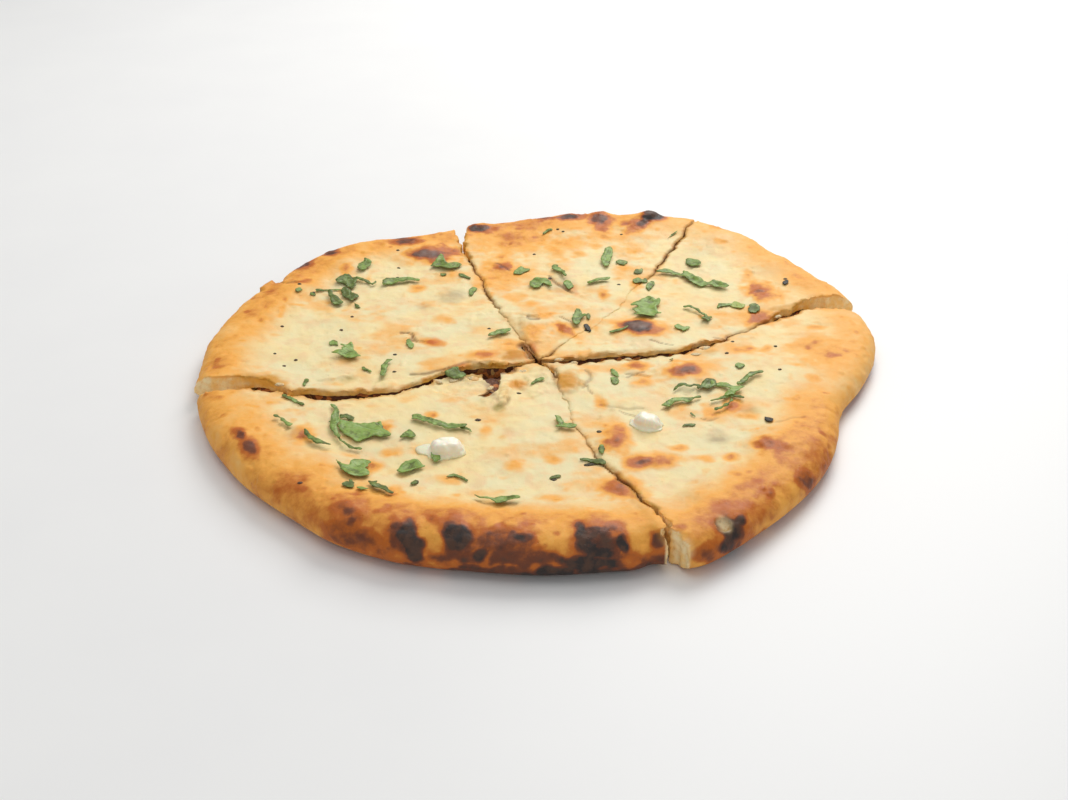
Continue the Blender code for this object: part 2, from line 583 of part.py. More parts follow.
def main():
    for thing in list(bpy.data.objects):
        bpy.data.objects.remove(thing)
    parts = bpy.data.collections.new("stuffed_flatbread")
    cutters = bpy.data.collections.new("cutters")
    for collection in (parts, cutters):
        bpy.context.scene.collection.children.link(collection)
    finishes = {kind: finish(kind) for kind in COLOURS}

    doughs = {name: dough_slice(name, parts, cutters) for name in SLICES}
    bare = crust_of(doughs.values())
    for name, dough in doughs.items():
        fuse_flakes(dough, name, bare)
        paint(dough, finishes["dough"])
        paint(filling_slice(name, parts, cutters), finishes["filling"])
    crust = crust_of(doughs.values())
    for index, spine in enumerate(LEAVES, 1):
        paint(leaf(index, spine, parts, crust), finishes["coriander"])
    for row in BUTTER:
        paint(butter(*row, parts, crust), finishes["butter"])
    for thing in list(cutters.objects):
        bpy.data.objects.remove(thing)


main()
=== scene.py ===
import json
import math
import random

import bmesh
import bpy
import numpy as np
from bpy.props import FloatProperty, FloatVectorProperty, PointerProperty
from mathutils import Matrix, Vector, kdtree, noise
from mathutils.geometry import delaunay_2d_cdt, tessellate_polygon

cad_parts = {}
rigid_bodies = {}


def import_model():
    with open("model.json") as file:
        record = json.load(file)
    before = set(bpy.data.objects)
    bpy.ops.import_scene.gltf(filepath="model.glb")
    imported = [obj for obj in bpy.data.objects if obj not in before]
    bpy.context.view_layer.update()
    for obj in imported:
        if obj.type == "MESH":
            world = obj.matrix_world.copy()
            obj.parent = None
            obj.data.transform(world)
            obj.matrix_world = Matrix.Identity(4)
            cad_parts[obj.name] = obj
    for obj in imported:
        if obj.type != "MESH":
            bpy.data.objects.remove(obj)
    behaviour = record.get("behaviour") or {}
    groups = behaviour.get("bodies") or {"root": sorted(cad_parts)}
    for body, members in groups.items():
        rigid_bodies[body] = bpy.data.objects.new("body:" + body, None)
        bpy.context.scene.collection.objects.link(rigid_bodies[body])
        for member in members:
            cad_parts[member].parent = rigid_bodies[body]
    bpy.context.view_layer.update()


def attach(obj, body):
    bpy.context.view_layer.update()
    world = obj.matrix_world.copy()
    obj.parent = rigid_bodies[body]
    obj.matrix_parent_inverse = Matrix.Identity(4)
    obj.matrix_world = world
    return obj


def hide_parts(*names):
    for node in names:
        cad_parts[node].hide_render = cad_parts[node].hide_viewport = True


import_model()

bl_info = {
    "name": "Kulcha",
    "version": (1, 0, 0),
    "blender": (4, 5, 0),
    "location": "3D View > Sidebar > Kulcha",
    "description": "Builds the looks of a sliced stuffed kulcha with butter and coriander",
    "category": "Object",
}

MM = 0.001

# The bread's form, in millimetres
MIDDLE_THICKNESS = 9.6
RIM_RADII = (  # every 10 degrees, anticlockwise from the right
    131.5, 136.7, 139, 139, 140.5, 145.5, 147, 140.5, 135, 129.5, 125, 123.5,
    124, 131, 134, 133.5, 134.5, 134.5, 134.5, 134.5, 134, 134, 134, 134,
    136, 136, 134, 134, 134, 138.5, 133, 129, 125.5, 121, 117.5, 123.5,
)
RIM_HEIGHTS = (  # of its crest, every 15 degrees
    10.5, 10.5, 11.5, 12, 12, 12, 12, 11.5, 12, 12.5, 11.5, 11,
    11, 11.5, 12.5, 13, 13.5, 14, 14, 13.5, 13, 12.5, 11.5, 10.5,
)
RIM_BROWNING = (  # how brown the rim is, every 15 degrees
    0.30, 0.30, 0.36, 0.33, 0.30, 0.38, 0.42, 0.42, 0.42, 0.44, 0.44, 0.42,
    0.38, 0.36, 0.41, 0.45, 0.45, 0.49, 0.52, 0.50, 0.48, 0.47, 0.44, 0.36,
)
RIM_NOTCHES = ((151.5, 1.6, 3.5), (285.5, 2.5, 4.2))  # direction and half width in degrees, depth
CREST_REACH = 0.925
RIM_RISE_START = 0.72
RIM_MIDDLE = 0.4
UNDERTURN = math.radians(60)
TOP_SHARE = 0.6
BASE_SHARE = 0.2
FILLING_REACH = 0.86
TOP_CRUST = 1.5
BOTTOM_CRUST = 2.3
FILLING_PLAY = 0.35
WAVE_LENGTH = 23.0
WAVE_HEIGHT = 0.7
STEP_REACH = 10.0
STEP_UP = 0.7
BLISTERS = (  # x, y, half length, half width, rise
    (-52, 86, 11, 9, 1.6), (-87, 74, 6, 9, 0.8), (-105, 52, 9, 7, 1.0), (-11, -6, 5, 5, 2.0),
    (-24, -6, 7, 4, 1.0), (-74, 18, 12, 10, 0.8), (-18, 74, 6, 7, 1.0), (28, 129, 5, 8, 2.2),
    (13, 130, 6, 4, 1.4), (-30, 117, 6, 5, 1.6), (44, 120, 8, 8, 1.0), (51, 123, 5, 5, 3.4),
    (-4, 15, 6, 9, 1.3), (10, 16, 5, 9, 1.0), (7, 93, 9, 8, 0.8), (41, 16, 11, 8, 2.0),
    (93, 42, 8, 13, 1.8), (116, 54, 11, 5, 1.2), (82, 100, 8, 6, 0.7), (52, -18, 8, 8, 1.5),
    (25, -66, 6, 9, 1.4), (37, -80, 9, 5, 1.1), (9, -24, 5, 8, 1.5), (82, -70, 11, 11, 2.0),
    (73, -104, 6, 8, 0.9), (62, -115, 8, 8, 1.5), (112, 18, 9, 4, -0.9), (36, -17, 6, 4, 0.9),
    (37, -27, 5, 5, 0.8), (-85, -62, 6, 5, 0.8), (-9, -84, 5, 4, 0.7), (24, -95, 5, 5, 1.1),
    (-104, -71, 5, 9, 1.1), (-66, -112, 9, 8, 1.2), (-47, -122, 6, 9, 1.2), (-29, -118, 7, 8, 1.5),
    (-10, -121, 9, 7, 1.0), (15, -121, 10, 8, 1.6), (34, -122, 5, 6, 1.0), (57, -117, 3, 4, -1.4),
    (100, -20, 15, 12, 0.8),
)
HUB = (-2.0, -9.5)
TIP_DISTANCE = 1.0

# The cuts from the hub outwards: x, y, how wide each gapes there (below 0 closed), and how far the crust on
# its left stands above (below 0 under) the crust on its right
CUTS = {
    "west": (
        (-7, -11.8, 1.2, -0.6), (-11, -14, 1.8, -1), (-15, -17, 2.6, -1.5), (-20, -17.5, 3.6, -1.5),
        (-26, -16.5, 3.4, -1.5), (-32, -17.5, 2.6, -1.5), (-38, -21.5, 1.5, -1.3),
        (-44, -26, 1.0, -1.2), (-50, -29.5, 0.9, -1), (-56, -32.5, 0.9, -1), (-62, -34.5, 1.8, -1),
        (-69, -36, 3.6, -1), (-76, -36.5, 4.2, -1), (-84, -36.2, 4.4, -1), (-90, -35.2, 3.6, -1),
        (-95, -33.5, 2.0, -0.8), (-99, -31.5, 3.0, -1.4), (-104, -30, 5.5, -2),
        (-110, -29.5, 7.0, -2.2), (-117, -29.5, 7.5, -2), (-126, -29.5, 7.5, -1.8),
        (-136, -29.5, 8, -1.5), (-155, -29.5, 8, -1.5),
    ),
    "north_west": (
        (-4, -5, 0.5, -0.4), (-6, 0, 0.2, -0.5), (-8, 5, -0.4, -0.5), (-10.3, 12, -0.65, -0.5),
        (-13, 20, -0.7, -0.6), (-17, 30, -0.45, -0.6), (-21, 41, -0.1, -0.5), (-24.5, 52, 0.1, -0.5),
        (-27.5, 63, -0.1, -0.4), (-30.5, 75, 0.2, -0.4), (-32.5, 84, 0.8, -0.4),
        (-35.5, 92, 1.5, -0.3), (-36.8, 102, 3.2, 0), (-37.5, 110, 5.0, 0), (-38.5, 118, 7.0, 0),
        (-39.5, 130, 8.0, 0), (-41, 150, 9.0, 0),
    ),
    "north_east": (
        (2.5, -5, 0.2, 0.2), (7, 2, -0.4, 0.3), (12, 9, -0.7, 0.3), (17, 15, -0.7, 0.3),
        (22, 21, -0.7, 0.3), (27, 28, -0.7, 0.3), (31.5, 36, -0.7, 0.4), (35, 44, -0.6, 0.4),
        (39, 52, -0.5, 0.3), (44, 60, -0.3, 0.3), (49, 67.5, 0.0, 0.3), (52.5, 76, 0.25, 0.3),
        (56, 85, 0.35, 0.3), (60, 94, 0.35, 0.3), (64, 104, 0.45, 0.3), (67.5, 112, 0.6, 0.3),
        (71, 119, 0.9, 0.2), (74.5, 128, 1.2, 0), (84, 152, 1.4, 0),
    ),
    "east": (
        (3, -10.3, 1.4, 0.5), (8, -11, 2.6, 0.8), (13, -10.5, 2.8, 1), (19, -9, 2.6, 1.2),
        (25, -8, 2.6, 1.2), (32, -6.7, 2.3, 1.2), (39, -5.4, 2.0, 1.1), (46, -3.8, 1.8, 1),
        (54, -2.5, 1.8, 0.9), (60, -0.2, 1.7, 0.8), (66, 3.5, 1.7, 0.7), (71, 7, 0.6, 0.5),
        (76, 10, -0.1, 0.3), (82, 14, -0.3, 0.3), (88, 18.5, -0.1, 0.3), (93, 23.5, 0.7, 0.5),
        (98, 27.5, 2.0, 0.9), (104, 31.5, 3.0, 1.4), (109, 35.5, 3.4, 1.9), (113, 37.5, 4.6, 2.2),
        (118, 38.7, 6.5, 2.4), (123, 38.5, 8.0, 2.2), (128, 38, 9.0, 1.6), (137, 37, 9.5, 1),
        (155, 36, 10, 1),
    ),
    "south": (
        (1.5, -14, 1.8, 0.4), (3.5, -18.5, 0.8, 0.4), (4.8, -24, -0.2, 0.4), (6.5, -34, -0.5, 0.3),
        (8.8, -44, -0.5, 0.3), (11, -53, -0.5, 0.3), (13.3, -62, -0.4, 0.4), (16, -71, -0.3, 0.4),
        (18.7, -78.5, 0, 0.4), (22, -84.5, 0.25, 0.4), (25.5, -90.5, 0.35, 0.4),
        (29, -98, 0.4, 0.5), (32.3, -105, 0.5, 0.5), (35, -112, 0.7, 0.6), (37.2, -118, 1.1, 0.6),
        (39.2, -124.5, 2.8, 0.5), (41.3, -131, 6.2, 0.4), (45, -150, 8.5, 0.4),
    ),
}
CUT_SPACING = 6.5
CUT_JAG = 0.7
EDGE_JAG = 0.35
OUTSIDE = 185.0
SLICES = {
    "back_left": ("north_west", "west"),
    "back_middle": ("north_east", "north_west"),
    "back_right": ("east", "north_east"),
    "front_right": ("south", "east"),
    "front_left": ("west", "south"),
}
TEAR_SLICE = "front_left"
TEAR_FLOOR = 4.6
TEAR = (
    (-23, -14), (-17.3, -14), (-16.2, -24), (-16.8, -30), (-18.3, -33.5), (-23.3, -37.2),
    (-24.3, -35.5), (-20.8, -32), (-20.3, -27), (-23, -22.5),
)

# Where the camera stands, and the level at which the marks below were placed as it sees them
CAMERA = (-3.6, -451.25, 260.0)
CAMERA_DIP = math.radians(31.3)
CAMERA_LENS = 44.02
MARK_LEVEL = 10.0

# The same camera in the photo's pixels, for the places that were read off the photo
PHOTO_MIDDLE = (534, 400)
PHOTO_FOCUS = 1306

# Browned marks: x, y, half length, half width, turn in degrees, how dark from 0 to 1
BROWNED = (
    (-52, 87, 8.5, 6, 5, 0.80), (-52, 86, 14, 11, 0, 0.50), (39, 18, 7.4, 5, -8, 0.92),
    (41, 16.5, 14, 9, -8, 0.6), (-31, 115, 4.5, 4.2, 0, 0.92), (-31, 114, 9, 8, 0, 0.52),
    (12.5, 128.5, 5, 3, 0, 0.86), (1, 126.7, 4, 2.2, 0, 0.74), (28.3, 126.5, 3, 8, 0, 0.8),
    (29, 119, 7, 14, 0, 0.5), (49.5, 124.5, 13, 3.2, 56, 0.8), (53, 134, 5, 5, 0, 0.94),
    (-64, 102.5, 4, 4, 0, 0.74), (-96, 89, 4.5, 4.5, 0, 0.78), (-107, 76, 5, 5, 0, 0.78),
    (54, -18, 5, 3.4, 25, 0.68), (54, -18.5, 9.5, 7, 20, 0.48), (33, -80.8, 4.5, 3.2, 0, 0.7),
    (39, -79, 8, 4.5, 0, 0.5), (24.6, -95.8, 5, 4.4, 0, 0.66), (25.4, -66.7, 6.5, 12, 0, 0.6),
    (25.4, -66.7, 5, 10, 0, 0.62), (93, 50, 8.5, 13, 0, 0.6), (90, 25.8, 8, 8, 0, 0.58),
    (88, 34, 3, 3, 0, 0.62), (-17, 74, 6, 7, 0, 0.64), (-11.2, -5.4, 5, 5, 0, 0.36),
    (-12, 2, 6, 5, 0, 0.33), (-23.3, -5.4, 6.5, 4.5, 0, 0.42), (-4.2, 14, 5, 8, 0, 0.38),
    (10, 13.5, 11, 3.6, -59, 0.5), (-43, 4, 7, 4, -20, 0.5), (8.5, -25, 4.6, 9, 0, 0.36),
    (-9.6, -28, 4, 4, 30, 0.38), (35.8, -15, 6.5, 4.2, 8, 0.52), (37.5, -26.7, 5.5, 5, 20, 0.48),
    (21, -42, 3, 6.5, 0, 0.42), (-86.7, 72.5, 5, 9, 0, 0.5), (-53.5, 52, 5, 5, 0, 0.42),
    (-57, -58, 5, 5, 0, 0.42), (-58, -84, 5, 5, 0, 0.42), (-50, -99, 5, 4.5, 0, 0.44),
    (6, 92, 8, 11, 0, 0.36), (3, 106, 2.5, 9, 0, 0.36), (-19, 84, 5, 5, 0, 0.33), (42, 89, 5, 5, 0, 0.35),
    (24, 96, 6, 5, 0, 0.33), (17, 87, 5, 5, 0, 0.33), (36, 73, 6, 5, 0, 0.33), (82, 101, 5, 5, 0, 0.36),
    (90, 66, 3, 9, 0, 0.36), (112, 57, 10, 4, 0, 0.38), (-12, 44, 8, 6, 0, 0.34), (-5, 38, 5, 5, 0, 0.3),
    (1, 27, 5, 5, 0, 0.3), (-40, 24, 6, 5, 0, 0.3), (-21, -61, 3, 5, 0, 0.34),
    (-9.6, -83, 4.5, 4, 0, 0.36), (2.5, -79, 4.5, 4, 0, 0.36), (-32, -91, 8, 3.5, 0, 0.35),
    (2, -102.5, 8, 3.5, 0, 0.35), (33, -99, 4, 4, 0, 0.33), (77, -84, 5, 4, 0, 0.36),
    (66, -48, 8, 6, 0, 0.35), (72, -51, 7, 3, -25, 0.35), (111.7, 17, 6, 3, 0, 0.38),
    (79, -1, 8, 4, 0, 0.38), (87.5, -1, 5, 3, 60, 0.36), (103, -24, 7, 6, 0, 0.38),
    (111, -2, 18, 20, 0, 0.36), (-123, 28, 3.5, 2.5, 0, 0.38), (92, -81, 5, 5, 0, 0.38),
    (-66, -107.5, 4.3, 3.3, -11, 0.66), (-64, -109.7, 5, 2.4, -81, 0.74),
    (-67, -118.3, 4.6, 3.4, -73, 0.66), (-61.7, -115.1, 6, 3.2, -81, 0.7),
    (-60.6, -124.5, 8.2, 3.6, -40, 0.7), (-54.3, -125, 6.5, 3.6, -42, 0.66),
    (-50.6, -130.6, 5.6, 3.2, -38, 0.7), (-43, -124, 14, 4.6, -69, 1.06),
    (-46.1, -118.3, 5, 2.4, -78, 0.82), (-40.3, -132.1, 4.6, 3, -54, 1.02),
    (-44.3, -125, 14, 6.2, -73, 0.8), (-28.8, -122.4, 9.2, 5.4, -86, 1.08),
    (-28.7, -123.9, 12.5, 7.6, -85, 0.8), (-20.6, -132.1, 4.4, 3.4, -85, 0.98),
    (-25.8, -132.5, 13, 5.5, -8, 0.78), (-15.1, -127, 10, 8.6, -84, 0.70),
    (-6.7, -122.9, 4.2, 4, -5, 0.97), (-6.4, -124, 7.4, 6.2, -89, 0.8), (-7.9, -133.5, 13, 5.5, 0, 0.82),
    (16.9, -127.5, 12, 9.6, 84, 0.9), (16.9, -130.6, 5.5, 7, 76, 0.94), (13.5, -135.5, 13, 4.8, 0, 0.96),
    (21.2, -118.3, 3.8, 3.4, 45, 0.7), (35.5, -125, 5.2, 3.2, 83, 0.84), (32, -133.5, 7.6, 4.2, 18, 0.76),
    (49.3, -130.6, 5.4, 4, 57, 0.66), (59.3, -119.8, 9.6, 5, 80, 0.98), (56.8, -127, 6.4, 4.4, 66, 0.9),
    (62.7, -114, 4.8, 3, 77, 0.94), (73.6, -100, 7.6, 3.4, 76, 0.6), (87.4, -92, 6.8, 2.4, 84, 0.72),
    (82.3, -71.5, 12, 10, 83, 0.56), (78, -69, 7.5, 6.5, 74, 0.62), (87.3, -80.9, 13, 8, 75, 0.44),
    (69.4, -109.7, 10, 6, 73, 0.54), (100.2, -67.1, 15, 4, 78, 0.48), (96, -83.9, 2.8, 1.6, 77, 0.66),
    (-103.1, -71.5, 7.6, 3.4, -77, 0.82), (-107, -64, 5, 3, -60, 0.84), (-20, -130, 54, 8, 0, 0.58),
    (-60, -120, 17, 8, -35, 0.58), (32, -131, 28, 7, 10, 0.56), (-42, -137.5, 10, 4, -15, 0.7),
    (-20, -140.5, 18, 4.6, 0, 0.84), (10, -141, 24, 5.2, 0, 1.0), (31, -137, 10, 4.6, 25, 0.8),
    (-27, -131, 10, 9, 0, 0.74), (-10, -130, 12, 10, 0, 0.76), (-60, -123, 14, 6, -33, 0.69),
    (11, -121, 3, 5.5, 0, 1.0), (24.5, -126, 2.6, 6, 0, 0.98), (17, -119, 6, 2.6, 0, 0.86),
    (14, -136.5, 11, 4, 0, 1.05), (53.5, 129.5, 7, 5, 0, 0.98), (45, 123, 14, 7, 25, 0.6),
    (28, 125, 11, 12, 0, 0.6), (-13, 103, 34, 20, 0, 0.42), (-20, 68, 14, 26, 0, 0.38),
    (10, 98, 16, 11, 0, 0.39), (26, 106, 12, 12, 0, 0.3), (28, 127, 5, 7, 0, 0.82),
    (14, 129, 6, 3.6, 0, 0.86), (0, 127, 7, 4, 0, 0.64), (-28.5, 115.5, 5, 4, 0, 0.92),
    (-24, 113, 9, 8, 0, 0.6), (-62, 101, 7, 5, 0, 0.8), (-48, 88, 10, 8, 0, 0.7),
    (68, -105, 6, 8, 0, 0.5), (60, -118, 7, 11, 0, 0.7), (-56, -58.3, 2.9, 4.3, 0, 0.48),
    (-58.3, -83.9, 1.9, 4.2, 0, 0.5), (-50.8, -98.8, 2.9, 3.9, 0, 0.46),
    (-40.5, -50.5, 2.8, 3.6, 0, 0.42), (-31.4, -92.2, 4.5, 3.2, 0, 0.38), (-53, -75.6, 4.2, 3.8, 0, 0.33),
    (60.2, -47.8, 3.4, 6.4, 0, 0.4), (68.6, -45.7, 3.9, 7.2, 0, 0.48), (74.4, -51.5, 4.6, 3.4, 0, 0.4),
    (81.2, -53.9, 3.2, 3, 0, 0.34), (40.3, 55.3, 3.6, 6.8, 0, 0.46), (26.5, 45.7, 3.4, 6.6, 0, 0.44),
    (83, -76, 12, 15, 0, 0.48), (64.4, -78.4, 3.8, 3.4, 0, 0.46), (65.5, -88.4, 4, 2.6, 0, 0.44),
    (46.8, -72.2, 4.2, 2.9, 0, 0.42), (39.1, -80.6, 7, 4.6, 0, 0.56), (-85.3, -63.8, 6, 7.6, 0, 0.58),
    (-98, -76.6, 8, 10, 0, 0.44), (-86.1, -96.8, 7, 8, 0, 0.56), (55, -79, 5.5, 2.9, 0, 0.34),
)

# Where the crust has stayed palest, in the same manner
PALE = (
    (-97, 2, 17, 19, 0, 1), (-70, 50, 11, 11, 0, 0.9), (-50, -57, 24, 13, 0, 1), (21, -35, 8, 14, 0, 1),
    (36, -50, 9, 11, 0, 1), (47, -66, 9, 10, 0, 0.9), (92, -32, 17, 15, 0, 1), (22, 66, 8, 14, 0, 0.9),
    (85, 70, 27, 32, 0, 0.85), (56, -90, 12, 6, 0, 0.9), (-62, -90, 7, 5, 0, 0.9), (0, -64, 7, 6, 0, 0.7),
    (-20, -80, 20, 6, 0, 0.5), (52, 30, 10, 8, 0, 0.6), (-40, 10, 10, 9, 0, 0.5),
)

# Where the browned front rim has stayed golden, in the same manner
GILDED = (
    (-36.5, -121, 3.2, 11, 22, 0.85), (3, -121, 5.4, 9, 0, 0.85), (29.6, -125, 3.2, 8, 10, 0.85),
    (-52, -112, 3.2, 8, 20, 0.6),
)

# Coloured patches in the same manner: ochre stain and rust from the filling's spices, damp shade, olive
# from its herbs, plum where it lies grey under thin crust, and torn cream dough
TINTED = {
    "stain": (
        (-11.2, -6.2, 4.6, 5, 0, 0.95), (8.5, -25, 4.6, 8, 0, 0.8), (-9, -28, 3.6, 4.6, 0, 0.6),
        (-13, 20, 2.4, 13, 17, 0.55), (-8, 20, 5, 7, 30, 0.45), (2, -16, 7, 4, 0, 0.35),
        (-104, -26.5, 8, 4.5, -20, 1.0), (-112, -24, 6, 4, 0, 0.8), (33, -112, 2, 18, 20, 0.55),
        (-37.5, 108, 2.5, 12, 0, 0.7), (104, 35, 12, 2.5, 25, 0.8), (64, -4, 5, 3, 20, 0.6),
        (40, -3, 26, 2.2, 7, 0.5), (13.8, -27.5, 2.4, 3, 0, 0.7), (-14, -36, 1.6, 7, 0, 0.4),
        (-17.5, 11, 3, 2, 20, 0.5), (-77, -34, 16, 2.4, 0, 0.6), (35, 78, 1.6, 1.6, 0, 0.6),
        (28, -96, 1.6, 16, 23, 0.5), (-38, -18, 12, 2.4, 18, 0.5), (-7, 2, 2.4, 9, 16, 0.5),
    ),
    "shade": (
        (-38, 45, 6, 5, 0, 0.4), (60.8, -66.7, 5, 4, 0, 0.4), (47.5, -101, 5, 4, 0, 0.4),
        (-83, 3, 4, 2.5, 0, 0.4), (-30, -25, 9, 4, -15, 0.6), (-26, 20, 9, 5, 10, 0.3),
        (70, 90, 14, 9, 20, 0.3), (100, 70, 12, 8, 20, 0.25), (-58, -66, 8, 3, 0, 0.3),
    ),
    "rust": (
        (-42.9, 3.9, 4.6, 4, 0, 0.7), (-8.7, -29.2, 3.4, 4.6, 0, 0.4), (-11.2, -6.2, 4.2, 4.4, 0, 0.8),
        (-5.2, -2.2, 3.4, 8, 0, 0.8), (-31.4, -16.4, 4, 3.4, 0, 0.9), (13.9, 51, 2.1, 6.2, 0, 0.5),
        (-22, -5.4, 5, 4, 0, 0.4), (72, -46, 5, 4, 0, 0.35), (-13, -62, 3, 3, 0, 0.3),
    ),
    "olive": (
        (-73.8, -25.1, 4, 2.6, 0, 0.6), (-17.1, -46, 2.4, 2.8, 0, 0.9), (76.4, -47.8, 4, 2.3, 0, 0.4),
        (60.8, -30.7, 2.4, 2.4, 0, 0.3), (-13, -41.5, 1, 3, -10, 0.6), (27, -92, 1, 9, 22, 0.5),
    ),
    "plum": (
        (-37.5, 44.3, 6, 6.4, 0, 0.5), (-49.7, 35.1, 3.8, 3.4, 0, 0.35), (60.8, -65.1, 4.4, 5, 0, 0.4),
        (60.7, -66.4, 3, 2.2, 0, 0.75), (9.1, 54.8, 6.7, 9.2, 0, 0.35), (-87.8, -62.5, 3.8, 4.8, 0, 0.35),
        (-52, 88, 5, 4, 0, 0.7), (39, 19, 4.4, 3, 0, 0.85), (-30, -26, 8, 4, -14, 0.35),
        (-20.5, -33, 1.8, 7, 20, 0.7),
    ),
    "cream": (
        (57.5, -116.7, 2.4, 4.4, 0, 0.8), (41.5, -129.6, 3.9, 7.5, 0, 0.7),
        (-29.6, -27.8, 7.2, 8.1, 0, 0.3), (-14.5, -31, 2.6, 11, 0, 0.5),
    ),
}

# Cracks and creases: points along the line, then half width, depth, and how dark the painted shade in them
# is
CRACKS = (
    (((-8.5, 1.5), (-5.8, -2.8), (-4.2, -8)), 1.5, 0.9, 0.8),
    (((2, -16), (5, -19), (4, -25)), 0.8, 0.6, 0.45),
    (((-38, -17), (-30, -12.5), (-21, -11)), 0.8, 0.6, 0.55),
    (((16, -18), (18, -24), (15, -31)), 0.7, 0.5, 0.5), (((-57, 12), (-53, 11), (-50, 6)), 0.6, 0.5, 0.6),
    (((32, -23), (38, -20)), 0.5, 0.4, 0.6), (((28, -47), (35, -52)), 0.5, 0.4, 0.4),
    (((3, 64), (7, 57), (12, 48)), 0.7, 0.6, 0.8), (((-115, 57), (-107, 59)), 0.7, 0.7, 0.6),
    (((-20, 77), (-14, 70)), 0.6, 0.4, 0.8),
)

# More of them, with their points as columns and rows of the photo
CRACKS_IN_PHOTO = (
    (((409, 375), (430, 372), (450, 367)), 0.7, 0.8, 0.7),
    (((470, 370), (485, 373), (500, 373), (513, 370)), 0.9, 1, 0.95),
    (((536, 361), (549, 361), (565, 360), (580, 361)), 0.8, 0.8, 0.9),
    (((652, 341), (662, 343), (672, 345)), 0.5, 0.4, 0.7),
    (((714, 338), (720, 339), (726, 340)), 0.5, 0.4, 0.6),
    (((625, 374), (637, 375.5), (649, 377)), 0.5, 0.4, 0.5),
    (((585, 384), (589, 387), (591, 391), (594, 395)), 0.5, 0.4, 0.5),
    (((402, 334), (408, 333), (414, 336), (414, 340), (424, 341)), 0.6, 0.6, 0.8),
    (((320, 379), (335, 378.5), (341, 376), (350, 379)), 0.7, -0.5, 0.15),
    (((527, 317), (532, 318.5), (540, 319.5)), 0.5, 0.5, 0.75),
    (((560, 317), (566, 319), (571, 322)), 0.5, 0.5, 0.8),
    (((524, 344), (530, 349), (534, 357)), 0.9, 0.8, 0.75),
    (((484, 373), (496, 379), (492, 387), (488, 393), (484, 397)), 1.1, 0.8, 0.7),
    (((510, 399), (508, 402), (505, 405)), 0.5, 0.5, 0.5),
    (((702, 419.5), (712, 420), (718, 418)), 0.5, 0.4, 0.5),
    (((775, 421), (790, 419), (805, 418)), 0.5, 0.3, 0.3),
    (((602, 406), (615, 407), (630, 408), (641, 409)), 0.7, 0.4, 0.3),
)

# Patches where a layer has peeled away (below 0) or stands up (above 0): x, y, halves, turn, height
PEELED = (
    (-26, -22, 5, 3, 0, -0.5), (-118.5, 58, 3.2, 8.5, -10, 1.4), (-4.5, 27, 4.5, 2.2, -20, 0.6),
    (57, -117, 2.6, 3.4, 0, -1.2), (-34, -19, 9, 2.5, 20, 0.5), (62, 2, 6, 2.4, 25, 0.5),
)

# Layers in the same manner: height, then columns and rows of the photo round the outline
LAYERS = (
    (0.6, (514, 366), (530, 363), (546, 368), (553, 380), (548, 392), (532, 397), (520, 388), (511, 376)),
    (0.9, (478, 362), (495, 360), (511, 364), (513, 370), (498, 374), (480, 371)),
    (0.55, (557, 368), (572, 364), (580, 376), (576, 392), (562, 396), (555, 384)),
    (-0.5, (514, 378), (524, 376), (529, 384), (522, 392), (514, 390)),
    (0.5, (498, 388), (510, 384), (516, 396), (508, 410), (498, 404)),
    (0.5, (586, 352), (612, 348), (636, 343), (640, 347), (612, 353), (590, 357)),
    (0.45, (520, 318), (538, 312), (556, 322), (550, 340), (532, 344), (520, 332)),
    (-0.8, (426, 387.5), (434, 381.5), (442.5, 379), (452.5, 376.5), (467.5, 375), (484, 373),
     (490, 382.5), (484, 395), (468, 397), (455, 395), (436, 391)),
    (0.9, (499, 374), (506, 375), (512, 377), (513, 384), (512, 392), (509, 401), (505, 406), (500, 405),
     (497, 398), (499, 391), (498, 384)),
    (0.4, (480, 398), (487, 396), (494, 397), (495, 402), (489, 406), (482, 404)),
    (0.6, (468, 362), (478, 359.5), (490, 360), (505, 363), (514, 367), (511, 371), (498, 372),
     (485, 370), (474, 367)),
    (0.7, (370, 389), (378, 384), (390, 381), (398, 383), (394, 388), (382, 392), (372, 394)),
)

